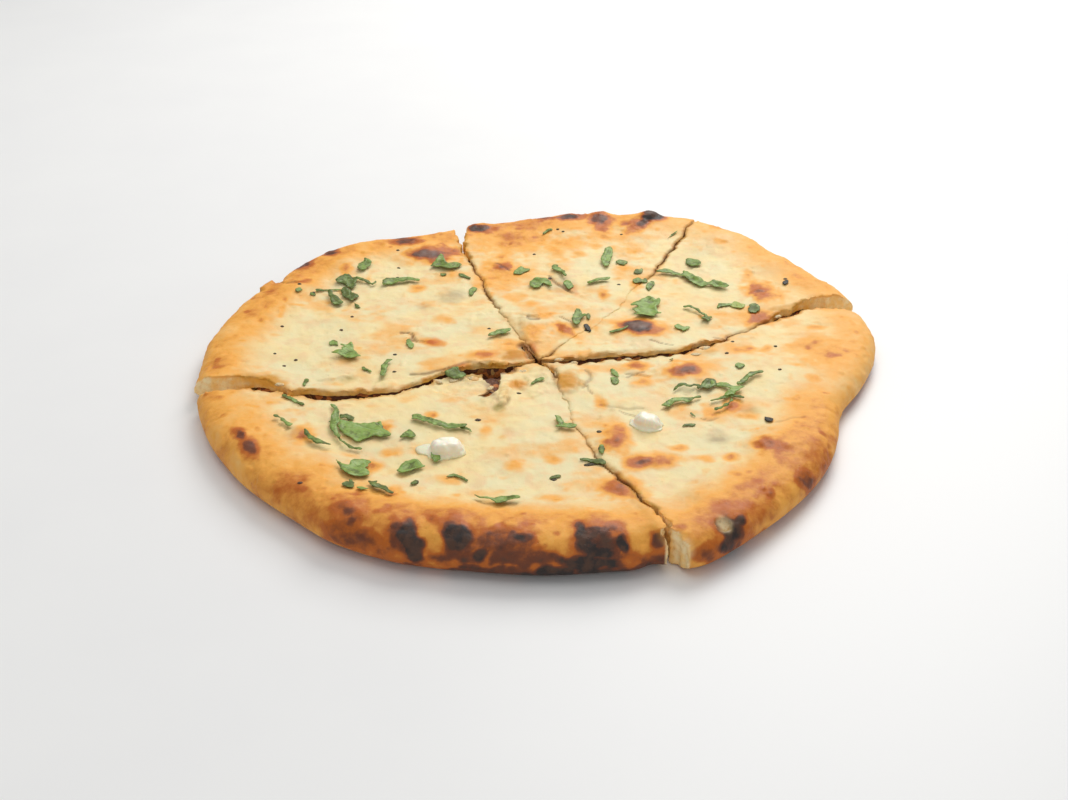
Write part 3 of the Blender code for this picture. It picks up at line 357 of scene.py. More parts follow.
# Larger leaves: tone from dark 0 to bright 1, then columns and rows of the photo round the outline.
# A stalk's places run along its middle, each with its width there as a third number.
CORIANDER = (
    (0.5, (274.5, 417.5), (278, 417), (283, 421), (288, 424), (293, 426.5), (291, 429), (288, 429),
     (284, 425), (279, 421), (275, 419.5)),
    (0.3, (305, 434, 3), (310, 439, 4), (316, 444, 5), (322, 445.5, 3), (330, 446.5, 1.2)),
    (0.45, (331, 405), (335, 406), (338, 410), (340, 417), (340, 423), (338, 428), (338, 434), (341, 439),
     (339, 441), (335, 437), (331, 432), (330, 425), (332, 418), (334, 412)),
    (0.78, (341, 422), (350, 424), (359, 426), (368, 426), (376, 425), (381, 425), (382, 429), (385, 432),
     (390, 435), (390, 438), (381, 439), (374, 438), (366, 440), (358, 443), (352, 440), (346, 437),
     (343, 434), (340, 430), (340, 426)),
    (0.45, (338, 438, 2), (342, 443, 2), (347, 447, 2), (353, 449, 1.6), (361, 450, 1)),
    (0.1, (340, 417), (346, 415.5), (351, 417), (354, 418), (353, 421), (349, 421), (345, 419),
     (341, 419.5)),
    (0.5, (412, 420, 4), (417, 419.5, 6), (423, 421, 5.5), (430, 423, 5), (438, 425, 4.5),
     (446, 426.5, 4.5), (454, 427, 4.5), (462, 426.5, 3.5), (466, 426, 2)),
    (0.4, (461, 428, 2), (469, 431, 2), (472, 433, 1)),
    (0.5, (400, 438), (403, 435), (407, 432), (410, 431), (413, 433), (416, 436.5), (411, 438.5),
     (406, 438), (401, 439)),
    (0.65, (336.5, 464), (341, 467), (346, 468.5), (350, 467), (353, 463), (360, 460.5), (366, 460),
     (370, 461.5), (369, 465), (366, 469), (369, 474), (368, 478), (362, 480), (355, 480), (350, 480.5),
     (344, 477), (341, 472), (338, 467)),
    (0.08, (369, 483), (373, 483), (378, 482), (377, 485), (381, 486), (386, 489), (391, 493), (394, 495),
     (391, 496.5), (385, 494.5), (379, 493), (373, 491), (371, 488)),
    (0.72, (398, 473), (400, 468), (404, 464.5), (410, 462.5), (416, 462), (420, 464), (423, 466.5),
     (426, 468), (421, 469.5), (416, 471), (411, 473.5), (406, 475), (401, 476)),
    (0.68, (431, 451), (434, 452), (437, 455), (439, 458), (441, 461), (437, 463), (433, 461.5),
     (431, 457)),
    (0.6, (475, 496), (480, 497.5), (487, 500.5), (494, 501.5), (497, 500), (503, 498.5), (509, 499.5),
     (517, 499), (521, 500.5), (516, 503.5), (508, 505), (504, 507), (497, 507.5), (491, 504.5),
     (484, 502), (479, 500)),
    (0.55, (661.5, 407), (664, 404.5), (668, 402), (673, 400), (680, 399.5), (686, 399.8), (692, 399.5),
     (692, 402), (688, 403.5), (680, 403.5), (674, 404.5), (671, 407), (669, 409), (665, 408.5)),
    (0.4, (689, 400.3, 1.4), (695, 399.3, 1.1), (700, 398.3, 0.8)),
    (0.25, (673.5, 391, 1), (676, 389, 1.4), (681, 387, 1.9), (685, 387, 1.7), (690, 388.5, 1.6),
     (695, 387, 2), (700, 387.5, 2.5)),
    (0.05, (697, 389), (701, 386.5), (702, 384), (705, 382), (709, 380.5), (713, 380.5), (716, 383),
     (716, 386), (713, 388), (711, 390), (706, 390.5), (702, 389), (698, 390.5)),
    (0.85, (711, 383.5), (716, 384.5), (721, 384), (727, 385), (731, 387.5), (737, 388.5), (743, 388),
     (745, 388.5), (741, 391), (737, 393), (734, 396), (728, 397), (724, 397), (728, 393.5), (730, 391.5),
     (725, 389.5), (720, 388), (715, 387), (712, 386)),
    (0.4, (729, 396.5, 2), (723, 399, 1.8), (716, 401, 1.4), (711, 402.5, 1)),
    (0.35, (730, 397, 1.5), (736, 397.3, 1.8), (740, 398, 2), (743.5, 399.8, 1)),
    (0.35, (732, 398, 1.5), (731, 402, 2), (728, 406, 1.8), (722, 409, 1.8), (717, 411, 2.2),
     (714, 411.5, 1.2)),
    (0.3, (737, 385.5, 2), (741, 383.5, 4), (746, 380.5, 4), (751, 377, 4), (755, 375.5, 3),
     (760, 375, 2), (763, 374.5, 1)),
    (0.55, (602, 264), (601.5, 259), (604, 254), (606, 249.5), (610, 248), (612.5, 251), (612, 257),
     (610, 262), (608.5, 266), (605, 267)),
    (0.4, (552, 267.5), (556, 266.5), (560, 268.5), (563.5, 272), (566, 276), (565.5, 278.5), (562, 276),
     (558, 273), (554, 271)),
    (0.55, (530, 284), (532, 281), (537, 279.5), (542, 280), (546, 280.5), (550, 283), (552, 288),
     (548, 287), (544, 284), (540, 287.5), (535, 289.5), (531.5, 287.5)),
    (0.45, (587.5, 284, 1.5), (592, 282.5, 3), (598, 281, 3.2), (604, 280, 3), (609.5, 280, 1.5)),
    (0.55, (656, 273.5), (662, 271.5), (670, 272), (676, 273), (681, 274.5), (684, 272.5), (689, 274),
     (694, 277.5), (699, 281), (705, 283.5), (709, 284.5), (713, 282.5), (718, 284), (724, 286.5),
     (729, 289), (724, 290), (716, 289.5), (711, 287.5), (706, 287), (701, 288), (695, 286), (689, 282.5),
     (684, 279), (679, 276.5), (671, 275.5), (664, 274.5)),
    (0.45, (685.5, 261), (689, 260), (694, 260.5), (698, 262), (701, 264), (699, 267), (694, 267.5),
     (690, 267), (687.5, 265)),
    (0.3, (684, 308, 1.6), (689, 308, 2), (695, 310.5, 2), (700, 314, 2.2), (704, 317, 2.5)),
    (0.28, (701, 321), (704, 318), (706, 315.5), (709, 317), (712.5, 317.5), (710, 320), (708.5, 322.5),
     (705, 322), (702, 322)),
    (0.75, (631, 306), (638, 303), (644, 300), (648, 298.5), (652, 300), (655, 302), (659, 301),
     (660, 304), (657, 308), (657, 312), (661, 315.5), (656, 316), (653, 318.5), (648, 318), (643, 317.5),
     (639, 316.5), (634, 317), (638, 313), (632, 310.5), (638, 308.5), (635, 307)),
    (0.35, (576, 310), (580, 310), (582, 314), (586, 316), (583, 318), (581, 321), (578, 326),
     (574, 326.5), (572, 322), (573, 317), (575, 313)),
    (0.5, (358, 268), (359, 264.5), (363, 263.5), (365, 260.5), (368, 261), (371.5, 263.5), (369, 266),
     (365, 269), (361, 269.5)),
    (0.45, (431, 267), (433, 264), (437, 262), (440, 257), (443, 258), (446, 263), (452, 264.5),
     (458, 263.5), (461, 266), (457, 268.5), (450, 270), (444, 269.5), (438, 268), (434, 267)),
    (0.5, (383, 285.5, 2.5), (388, 283.5, 4.5), (396, 282.5, 4), (404, 281.5, 3.6), (412, 280.3, 3),
     (418.5, 281, 1.5)),
    (0.08, (336, 281), (340, 278.5), (345, 276), (350, 277), (353, 279), (358, 279), (356, 283),
     (354, 287), (350, 288), (346, 285.5), (342, 284), (337, 283)),
    (0.35, (357, 279.5, 1.5), (362, 281, 2.6), (368, 282.5, 2), (372, 285, 1.6), (376, 283, 1)),
    (0.03, (328, 294), (331, 292.5), (334, 296), (338, 298), (341, 300), (343, 303), (339, 305),
     (335, 305), (331, 301), (330, 298)),
    (0, (341, 292), (345, 290), (350, 292), (354, 295), (359, 297), (356, 300), (352, 302.5), (347, 300),
     (343, 297)),
    (0.7, (331, 354), (341, 352.5), (342, 350.5), (345, 348.5), (341, 347), (347, 345.5), (351, 343),
     (353.5, 345), (354, 349.5), (357, 354), (361, 357), (354, 358.5), (348, 359), (343, 357.5),
     (337, 356)),
    (0.5, (386, 361), (389, 360), (393, 361.5), (389.5, 363.5), (387.5, 370), (385.5, 377), (384, 380),
     (381, 379), (380.5, 375), (382.5, 368)),
    (0.5, (488, 338, 1.5), (493, 335.5, 3), (500, 333.5, 3.6), (507, 331.8, 3), (510, 331.5, 1.5)),
    (0.5, (555, 418.5), (558, 417.5), (561, 418.5), (563, 422), (566, 425.5), (571, 425), (576, 427),
     (577, 429), (571, 430), (564, 429.5), (559, 429.5), (556, 428.5), (559, 426.5), (557, 422.5)),
)

# Small flakes of leaf, in the same manner
FLAKES = (
    (0.12, (342, 487), (346, 484), (349, 484), (350, 481), (353, 481), (354, 486), (353, 490),
     (349, 490.5), (345, 489)),
    (0.9, (358, 490), (361, 489), (366, 489.5), (368, 491.5), (362, 492)),
    (0.15, (447, 477.5, 1), (454, 476, 1.8), (461, 478, 1.8), (467, 481.5, 1)),
    (0.1, (410.5, 485), (413, 483), (416, 481), (418.5, 482), (416, 484.5), (412, 486)),
    (0.25, (283, 396, 2), (290, 399, 3), (297, 402, 3), (303, 405, 1)),
    (0.6, (735.5, 365), (737, 363), (740, 363.5), (743, 365), (744.5, 366.5), (742, 368.5), (738.5, 368),
     (736, 366.5)),
    (-0.2, (764.5, 417.5), (768, 417.5), (772, 419.5), (773.5, 421.5), (771, 423.5), (767, 422.5),
     (765, 420.5)),
    (0.2, (682, 427, 1), (686, 425.5, 2), (690, 425.3, 2), (694.5, 424.8, 1.2)),
    (0.2, (690.5, 414.5, 1.2), (693, 416, 1.6), (695.5, 417.5, 1)),
    (0.3, (669.5, 361, 1), (673, 359.5, 1.4)),
    (0.4, (616, 262), (620, 260.5), (625, 261), (628, 262.5), (624, 265), (619, 264.5)),
    (0.55, (514, 273.5), (517, 270), (521, 267.5), (525, 269), (530, 269.5), (526, 272), (520, 275),
     (515.5, 274.5)),
    (0.6, (563, 282.5), (567, 280.5), (571, 283), (573, 286.5), (569, 289), (565, 286.5)),
    (0.12, (634, 272), (636, 269.5), (639, 270), (641.5, 268.5), (643, 271), (640, 274), (636, 274.5)),
    (0.35, (633, 281), (637, 278.5), (642, 280), (645, 279), (648, 282), (645, 283.5), (639, 283),
     (635, 284)),
    (0.35, (646, 288), (648, 284), (652, 282), (654.5, 284), (652, 288), (649, 290.5)),
    (0.35, (717.5, 307.5, 2), (721, 305.5, 4), (726, 305.5, 2.6), (731, 305, 2)),
    (1, (730, 305.5), (734, 302), (738, 303.5), (741, 305.5), (745, 307), (741, 309.5), (736, 308.5),
     (732, 307)),
    (0.05, (748, 309), (750, 305.5), (754, 305), (758, 306.5), (760, 309), (757, 312.5), (752, 312.5),
     (749, 311)),
    (0.7, (674.5, 327.5), (678, 325.5), (683, 327), (689, 327.5), (686, 329.5), (683, 331.5), (679, 330),
     (676, 329)),
    (0.3, (610, 331.5, 1), (615, 331, 2), (620, 330, 2), (627, 328, 1)),
    (0.3, (586, 316), (588, 314), (590.5, 316), (589.5, 320), (587, 319)),
    (-0.3, (585.5, 325.5, 3), (588, 329, 3.6), (590, 331.5, 1.5)),
    (0.3, (458.5, 274.5, 1.6), (463, 276, 2.8), (469.5, 278.5, 1.5)),
    (0.1, (440.5, 274.5, 1.2), (443, 275, 2), (446, 275, 1.2)),
    (0.1, (354, 304), (357, 305), (361, 308), (358, 308.5), (355, 306.5)),
    (0.25, (311, 294, 2), (315, 295, 1.5)),
    (0.25, (316, 292, 2), (320, 291, 1.5), (330, 290.5, 1), (340, 290, 1.2)),
    (0.1, (296.5, 289, 2), (302, 288.5, 1.5)),
    (0.5, (468.5, 293), (470, 289.5), (474, 287.5), (476.5, 288.5), (475, 291.5), (472.5, 295.5),
     (469.5, 295)),
    (0.5, (329, 343), (333, 340.5), (337, 342), (338.5, 346), (335, 345.5), (331, 345)),
    (0.6, (406.5, 341), (409, 340), (412, 343), (414, 346.5), (411, 348.5), (407.5, 347), (406.5, 344)),
    (0.35, (362.5, 368, 1.2), (366, 370, 2.2), (371, 372, 1.4)),
    (0.35, (303, 384.5), (304, 380.5), (307, 379), (308.5, 380.5), (306, 384.5), (304.5, 386)),
    (0.3, (445, 377.5), (449, 374.5), (456, 372.5), (461, 375), (466, 376.5), (460, 379), (453, 379.5),
     (448, 379)),
    (0.5, (531.5, 384.5, 1.2), (536, 381.5, 3), (541, 379.5, 3), (544, 379, 1.4)),
    (0.65, (610, 370), (613, 369), (616, 371.5), (618.5, 375), (618, 377.5), (614.5, 376.5), (612, 374)),
    (0.65, (611, 378.5), (614, 378), (618, 379.5), (619, 382), (616, 384.5), (612.5, 384), (611, 381)),
    (-0.3, (782.5, 283), (785, 281), (788.5, 281.5), (787.5, 284), (784.5, 285)),
    (0.1, (580, 460.5, 1.5), (588, 461, 2.5), (596, 462.5, 3.5), (603, 463.5, 4), (606, 465, 2)),
    (0.4, (599, 450), (600, 447), (604, 446.5), (605, 450), (603, 454), (600, 453)),
    (0.2, (549, 479, 1), (553, 477.5, 2), (557, 476.5, 2), (560, 476, 1)),
    (0.35, (543, 232.5, 1), (548, 230, 1.6), (552, 229.5, 1)),
    (0.25, (668, 238, 1), (673, 235, 1.4), (677, 233, 1)),
)

# Dark seeds and specks: x, y, half length, half width, turn in degrees
SPECKS = (
    (105, 58, 1.0, 0.8, 0), (33, 56, 0.9, 0.7, 0), (18, 16, 2.2, 0.9, 60), (3.3, 63.3, 1.2, 1.0, 0),
    (-104, 52, 0.9, 0.7, 0), (-97.5, 47, 0.9, 0.7, 20), (-80.7, -97.5, 1.0, 0.7, 0),
    (-43.3, 65.6, 0.9, 0.7, 0), (90.6, -17.9, 0.8, 0.6, 0), (92, 1.7, 0.8, 0.6, 0),
    (72, -4.6, 0.9, 0.7, 0), (75.5, 5, 0.8, 0.6, 0), (-106, 18, 0.8, 0.6, 0), (-81.5, 15, 0.8, 0.6, 0),
    (-78.5, 26, 0.8, 0.6, 0), (-96, -10, 0.8, 0.6, 0), (-100, -14, 0.8, 0.6, 0), (-105, -5, 0.7, 0.6, 0),
    (-58, -5, 0.9, 0.7, 0), (-57, -19, 0.8, 0.6, 0), (-63.5, 73, 0.8, 0.6, 0), (-63, 63, 0.8, 0.6, 0),
    (-65, 87, 0.8, 0.6, 0), (-3.5, 87, 0.8, 0.6, 0), (7.5, 111, 0.8, 0.6, 0), (10, 109, 0.8, 0.6, 0),
    (37, 107, 0.8, 0.6, 0), (-21.8, 15.7, 0.8, 0.6, 0), (-9.4, -35, 1.1, 0.6, 0),
    (-23.8, -52.7, 1.2, 1.0, 0), (19.6, -61.7, 1.0, 0.9, 0), (2.9, -90.7, 1.3, 0.8, 0),
    (-43, -93, 1.0, 1.5, 0), (16.7, -80.8, 3.6, 1.1, 15), (19.8, -73, 1.2, 2.3, 0),
)

# Torn crumbs of dough near the cuts: x, y, half length, half width, turn in degrees
CRUMBS = (
    (64, 1, 2.4, 1.3, 20), (60, -4.5, 2.0, 1.2, 10), (-27, -21, 2.4, 1.4, -20), (-34, -23, 2.0, 1.2, 30),
    (-40, -24.5, 2.2, 1.0, -30), (12, -12, 1.4, 0.9, 0), (6, -9.5, 1.8, 1.0, 10), (-99, -30, 1.8, 1.0, 0),
    (97, 27, 1.6, 1.0, 30), (-20, -30, 1.6, 1.1, 60), (-8, -18, 1.8, 1.0, 20), (33, -7, 1.6, 0.8, 8),
)

# Butter: name, x, y, width, depth, height, turn in degrees, how far it has melted
BUTTER = (
    ("butter_left", -33.9, -73.6, 11.2, 8.2, 4.3, 10, 0.3),
    ("butter_right", 37.0, -57.3, 9.2, 6.8, 3.4, -12, 0.5),
)
BUTTER_CLEARANCE = 0.4
BUTTER_SEGMENTS = 84

# A butter block's side from the middle of its top down: share of its half width, level, share of the skirt
BUTTER_PROFILE = (
    (0.0, 1.0, 0), (0.2, 1.0, 0), (0.38, 0.985, 0), (0.55, 0.95, 0), (0.69, 0.9, 0), (0.8, 0.83, 0),
    (0.88, 0.75, 0), (0.94, 0.65, 0), (0.98, 0.54, 0), (1.0, 0.43, 0), (1.01, 0.31, 0), (1.03, 0.2, 0.1),
    (1.05, 0.14, 0.3), (1.05, 0.1, 0.6), (1.05, 0.06, 0.85), (1.05, 0.02, 0.97), (1.05, -0.02, 1.0),
)

# How the toppings are made, in millimetres, and how many nodes the larger leaves stand for
CORIANDER_NODES = 34
LEAF_CLEARANCE, LEAF_GRID = 0.4, 0.8
FLAKE_THICKNESS, FLAKE_CLEARANCE, FLAKE_GRID = 0.18, 0.12, 0.5
SPECK_RISE, SPECK_SINK = 0.5, 0.12
CRUMB_RISE, CRUMB_SINK = 0.55, 0.1

# How the bread is made: divisions of the balls it starts from, heights and spacings in millimetres, the
# share of the filling's faces that is kept, and the angle from which an edge is sharp
SKIN_DIVISIONS = 7
FILLING_DIVISIONS = 6
HOLLOW_DIVISIONS = 5
SLICE_BLOCK = (-5, 30)
TEAR_TOP = 20
FILLING_INSET = 0.5
FILLING_FINENESS = 0.9
FILLING_KEPT = 0.35
CREASE_ANGLE = math.radians(62)

# The stage: the floor in millimetres, and each light's name, place, size, power and colour
FLOOR_REACH = 3000
FLOOR_GAP = 0.2
LIGHTS = (
    ("window", (0.35, 0.8, 0.8), 0.7, 10.0, (1.0, 0.985, 0.96)),
    ("ceiling", (-0.2, 0.1, 1.2), 1.2, 4.2, (1.0, 0.99, 0.975)),
    ("front_fill", (0.1, -1.1, 0.6), 0.9, 1.7, (1.0, 0.99, 0.98)),
)
SENSOR_WIDTH = 36


def srgb(red, green, blue):
    """A colour as a screen shows it, 0 to 255, as the linear numbers that shaders use."""
    shares = (value / 255 for value in (red, green, blue))
    return tuple(((share + 0.055) / 1.055) ** 2.4 if share > 0.04 else share / 12.92 for share in shares)


class KulchaShape(bpy.types.PropertyGroup):
    """Sizes of the visible surfaces"""

    fineness: FloatProperty(
        name="Fineness", description="Spacing of the crust's points",
        default=0.68 * MM, min=0.5 * MM, max=3 * MM, precision=5, subtype="DISTANCE", unit="LENGTH",
    )
    relief: FloatProperty(
        name="Relief", description="How strongly the crust is wrinkled and cracked",
        default=1.0, min=0, max=3,
    )
    jag: FloatProperty(
        name="Ragged cuts", description="How far the cut edges wander",
        default=0.6 * MM, min=0, max=1.5 * MM, precision=5, subtype="DISTANCE", unit="LENGTH",
    )
    leaf_thickness: FloatProperty(
        name="Leaf thickness", description="Thickness of the coriander leaves",
        default=0.24 * MM, min=0.1 * MM, max=1 * MM, precision=5, subtype="DISTANCE", unit="LENGTH",
    )


def colour_property(name, description, default):
    """A setting that is a colour."""
    return FloatVectorProperty(
        name=name, description=description, default=default, min=0, max=1, size=3, subtype="COLOR"
    )


class KulchaLook(bpy.types.PropertyGroup):
    """Colours of the bread and its toppings"""

    dough: colour_property("Dough", "Pale crust", srgb(242, 219, 160))
    dough_cool: colour_property("Cooler dough", "Pale crust over damp filling", srgb(235, 222, 174))
    dough_warm: colour_property("Warmer dough", "Pale crust with a tinge of brown", srgb(238, 202, 152))
    golden: colour_property("Golden", "Lightly browned crust", srgb(244, 173, 74))
    toasted: colour_property("Toasted", "Browned crust", srgb(192, 102, 28))
    scorched: colour_property("Scorched", "Dark brown crust", srgb(116, 62, 36))
    charred: colour_property("Charred", "Burnt crust", srgb(50, 41, 38))
    crumb: colour_property("Crumb", "Torn inside of the dough", srgb(255, 232, 182))
    stain: colour_property("Stain", "Dough coloured by spiced filling", srgb(204, 142, 36))
    rust: colour_property("Rust", "Dough coloured by chilli", srgb(206, 104, 26))
    olive: colour_property("Olive", "Dough coloured by herbs", srgb(150, 128, 46))
    plum: colour_property("Plum", "Grey crust over onion", srgb(128, 100, 88))
    filling: colour_property("Filling", "Spiced filling", srgb(112, 60, 24))
    leaf: colour_property("Leaf", "Bright coriander", srgb(138, 166, 78))
    leaf_dark: colour_property("Dark leaf", "Dark coriander", srgb(86, 98, 34))
    butter: colour_property("Butter", "Butter", srgb(253, 245, 224))
    browning: FloatProperty(
        name="Browning", description="How dark the marks are", default=1.0, min=0, max=1.5
    )


def smooth(low, high, value):
    """A smooth step from 0 at low to 1 at high."""
    share = np.clip((value - low) / (high - low), 0, 1)
    return share * share * (3 - 2 * share)


def between(a, b, c, d, share):
    """The smooth curve from b to c, with a before it and d after it."""
    return b + 0.5 * share * (c - a + share * (2 * a - 5 * b + 4 * c - d + share * (3 * (b - c) + d - a)))


def round_the_rim(values, angle):
    """Reads values that stand at even steps round the bread, at any angle."""
    values = np.array(values, float)
    place = angle / math.tau % 1.0 * len(values)
    start = np.floor(place).astype(int)
    near = (values[(start + step) % len(values)] for step in (-1, 0, 1, 2))
    return between(*near, place - start)


def along(points, spacing):
    """Rows of numbers every spacing or so along the smooth open curve through points."""
    rows = []
    for index in range(len(points) - 1):
        near = [points[min(max(index + step, 0), len(points) - 1)] for step in (-1, 0, 1, 2)]
        steps = max(1, round(math.dist(near[1][:2], near[2][:2]) / spacing))
        for step in range(steps):
            rows.append([between(*column, step / steps) for column in zip(*near)])
    rows.append(list(points[-1]))
    return rows


def rim_radius(angle):
    """How far the rim reaches in a direction, with its notches."""
    radius = round_the_rim(RIM_RADII, angle)
    for middle, half, depth in RIM_NOTCHES:
        away = (np.degrees(angle) - middle + 180) % 360 - 180
        radius = radius - depth * np.exp(-((away / half) ** 2))
    return radius


def body_height(reach, angle):
    """Height of the crust before its bumps, from the flat middle to the rim's crest."""
    crest = round_the_rim(RIM_HEIGHTS, angle)
    return MIDDLE_THICKNESS + (crest - MIDDLE_THICKNESS) * smooth(RIM_RISE_START, CREST_REACH, reach)


class Plan:
    """Numbers on a square grid over the bread, read between its points."""

    SPAN = 170.0

    def __init__(self, work, spacing=2.0):
        """Fills the grid with what work gives for its places."""
        self.spacing = spacing
        steps = np.arange(-self.SPAN, self.SPAN + spacing, spacing)
        x, y = np.meshgrid(steps, steps, indexing="ij")
        self.values = np.asarray(work(x.ravel(), y.ravel()), float).reshape(x.shape)

    def read(self, x, y):
        """The numbers at any places."""
        column = np.clip((np.asarray(x) + self.SPAN) / self.spacing, 0, self.values.shape[0] - 1.001)
        row = np.clip((np.asarray(y) + self.SPAN) / self.spacing, 0, self.values.shape[1] - 1.001)
        i, j = column.astype(int), row.astype(int)
        a, b = column - i, row - j
        left = self.values[i, j] * (1 - b) + self.values[i, j + 1] * b
        right = self.values[i + 1, j] * (1 - b) + self.values[i + 1, j + 1] * b
        return left * (1 - a) + right * a


def waves(x, y):
    """Slow waves of the crust."""
    heights = [noise.noise((a / WAVE_LENGTH, b / WAVE_LENGTH, 0)) for a, b in zip(x, y)]
    return WAVE_HEIGHT * np.array(heights)


def edge_steps(name):
    """How much a slice's crust is raised or pressed beside the cuts that bound it."""

    def work(x, y):
        height = np.zeros(len(x))
        for cut, side in zip(SLICES[name], (1, -1)):
            rows = np.array(along(CUTS[cut], 1.5))
            away = (x[:, None] - rows[:, 0]) ** 2 + (y[:, None] - rows[:, 1]) ** 2
            nearest = away.argmin(1)
            step = side * rows[nearest, 3]
            share = np.where(step > 0, STEP_UP, 1 - STEP_UP)
            height += step * share * np.exp(-away[np.arange(len(x)), nearest] / STEP_REACH**2)
        return height

    return work


def blistered(x, y):
    """Height of the large blisters."""
    height = np.zeros(len(x))
    for middle_x, middle_y, half_x, half_y, rise in BLISTERS:
        away = ((x - middle_x) / half_x) ** 2 + ((y - middle_y) / half_y) ** 2
        height += rise * np.exp(-np.minimum(away, 40)) * (away < 8)
    return height


class Form:
    """The skin and the filling's pocket of one slice, as functions of a direction from its middle."""

    waving = None

    def __init__(self, name):
        if Form.waving is None:
            Form.waving = Plan(waves)
        self.steps = Plan(edge_steps(name))

    def bumps(self, x, y):
        """Height of the waves, pressed edges and blisters."""
        return Form.waving.read(x, y) + self.steps.read(x, y) + blistered(x, y)

    def skin(self, directions):
        """Points of a unit ball moved to the bread's skin."""
        share = (1 - directions[:, 2]) / 2
        angle = np.arctan2(directions[:, 1], directions[:, 0])
        outward = np.stack((np.cos(angle), np.sin(angle)), 1)
        turned = np.clip((share - TOP_SHARE) / (1 - TOP_SHARE - BASE_SHARE), 0, 1)
        tilt = math.pi / 2 - turned * (math.pi / 2 + UNDERTURN)
        top = share <= TOP_SHARE
        base = share >= 1 - BASE_SHARE
        reach = CREST_REACH + (1 - CREST_REACH) * np.cos(tilt)
        reach = np.where(top, CREST_REACH * np.sqrt(share / TOP_SHARE), reach)
        reach = np.where(base, reach * np.sqrt(np.maximum(1 - share, 0) / BASE_SHARE), reach)
        flat = outward * (rim_radius(angle) * reach)[:, None]
        crest = body_height(CREST_REACH, angle)
        middle = RIM_MIDDLE * crest
        height = middle + np.where(
            tilt > 0, (crest - middle) * np.sin(tilt), middle * np.sin(tilt) / math.sin(UNDERTURN)
        )
        height = np.where(top, body_height(reach, angle), height)
        bump = self.bumps(flat[:, 0], flat[:, 1])
        bump = bump * np.where(top, 1, smooth(-0.8, 0.5, np.sin(tilt))) * ~base
        flat = flat + outward * (np.where(top, 0, np.cos(tilt)) * bump)[:, None]
        height = height + np.where(top, 1, np.sin(tilt)) * bump
        return np.column_stack((flat, np.where(base, 0, height)))

    def pocket(self, directions, play):
        """Points of a unit ball moved to the wall of the filling's pocket, drawn in by play."""
        share = (1 - directions[:, 2]) / 2
        angle = np.arctan2(directions[:, 1], directions[:, 0])
        out = np.sqrt(2 * np.minimum(share, 1 - share))
        away = rim_radius(angle) * FILLING_REACH * out - play * 8 * out
        x, y = np.cos(angle) * away, np.sin(angle) * away
        roof = MIDDLE_THICKNESS + self.steps.read(x, y) - TOP_CRUST
        half = ((roof - BOTTOM_CRUST) / 2 - play) * np.sqrt(np.maximum(1 - out**4, 0))
        side = np.where(np.abs(directions[:, 2]) < 1e-6, 0, np.sign(directions[:, 2]))
        return np.column_stack((x, y, (roof + BOTTOM_CRUST) / 2 + half * side))


def lattice(points, seed):
    """A repeatable random number from 0 to 1 for each whole-numbered point."""
    x, y, z = (points[:, axis].astype(np.int64).astype(np.uint32) for axis in range(3))
    mixed = x * np.uint32(73856093) ^ y * np.uint32(19349663) ^ z * np.uint32(83492791)
    mixed = mixed ^ np.uint32(seed * 2654435761 & 0xFFFFFFFF)
    mixed = (mixed ^ (mixed >> np.uint32(15))) * np.uint32(2246822519)
    mixed = (mixed ^ (mixed >> np.uint32(13))) * np.uint32(3266489917)
    return (mixed ^ (mixed >> np.uint32(16))) / 4294967295.0


def grain(points, cell, seed):
    """Smooth random numbers from -1 to 1 that change over about one cell, in millimetres."""
    place = points / cell
    start = np.floor(place)
    share = place - start
    share = share * share * (3 - 2 * share)
    total = np.zeros(len(points))
    for corner in np.ndindex(2, 2, 2):
        weight = np.prod(np.where(corner, share, 1 - share), axis=1)
        total += weight * lattice(start + corner, seed)
    return total * 2 - 1


def ball(subdivisions):
    """Points and faces of a unit ball."""
    shell = bmesh.new()
    bmesh.ops.create_icosphere(shell, subdivisions=subdivisions, radius=1)
    points = np.array([vertex.co.normalized() for vertex in shell.verts])
    faces = np.array([[vertex.index for vertex in face.verts] for face in shell.faces])
    shell.free()
    return points, faces


def solid(name, points, faces):
    """A new object in the scene, from points in millimetres."""
    mesh = bpy.data.meshes.new(name)
    mesh.from_pydata(np.asarray(points) * MM, [], np.asarray(faces).tolist() if len(faces) else [])
    mesh.validate()
    thing = bpy.data.objects.new(name, mesh)
    bpy.context.scene.collection.objects.link(thing)
    return thing


def points_of(mesh):
    """A mesh's points, in millimetres."""
    numbers = np.empty(len(mesh.vertices) * 3)
    mesh.vertices.foreach_get("co", numbers)
    return numbers.reshape(-1, 3) / MM


def normals_of(mesh):
    """A mesh's normals, one for each point."""
    numbers = np.empty(len(mesh.vertices) * 3, np.float32)
    mesh.vertex_normals.foreach_get("vector", numbers)
    return numbers.reshape(-1, 3).astype(float)


def move_points(mesh, points):
    """Gives a mesh's points new places."""
    mesh.vertices.foreach_set("co", (points * MM).ravel())
    mesh.update()


def store(mesh, name, values):
    """Keeps a number for each point, for the materials to read."""
    made = mesh.attributes.new(name, "FLOAT", "POINT")
    made.data.foreach_set("value", np.asarray(values, np.float32))


def applied(thing, kind, **settings):
    """Applies one modifier."""
    made = thing.modifiers.new(kind.title(), kind)
    for key, value in settings.items():
        setattr(made, key, value)
    bpy.context.view_layer.update()
    mesh = bpy.data.meshes.new_from_object(thing.evaluated_get(bpy.context.evaluated_depsgraph_get()))
    thing.modifiers.clear()
    old = thing.data
    thing.data = mesh
    bpy.data.meshes.remove(old)


def shaped_by(thing, operation, cutter):
    """Cuts a solid by another, which is then removed."""
    applied(thing, "BOOLEAN", operation=operation, solver="MANIFOLD", object=cutter)
    bpy.data.objects.remove(cutter)
    if not len(thing.data.polygons):
        raise RuntimeError(f"nothing is left of {thing.name} after a cut")


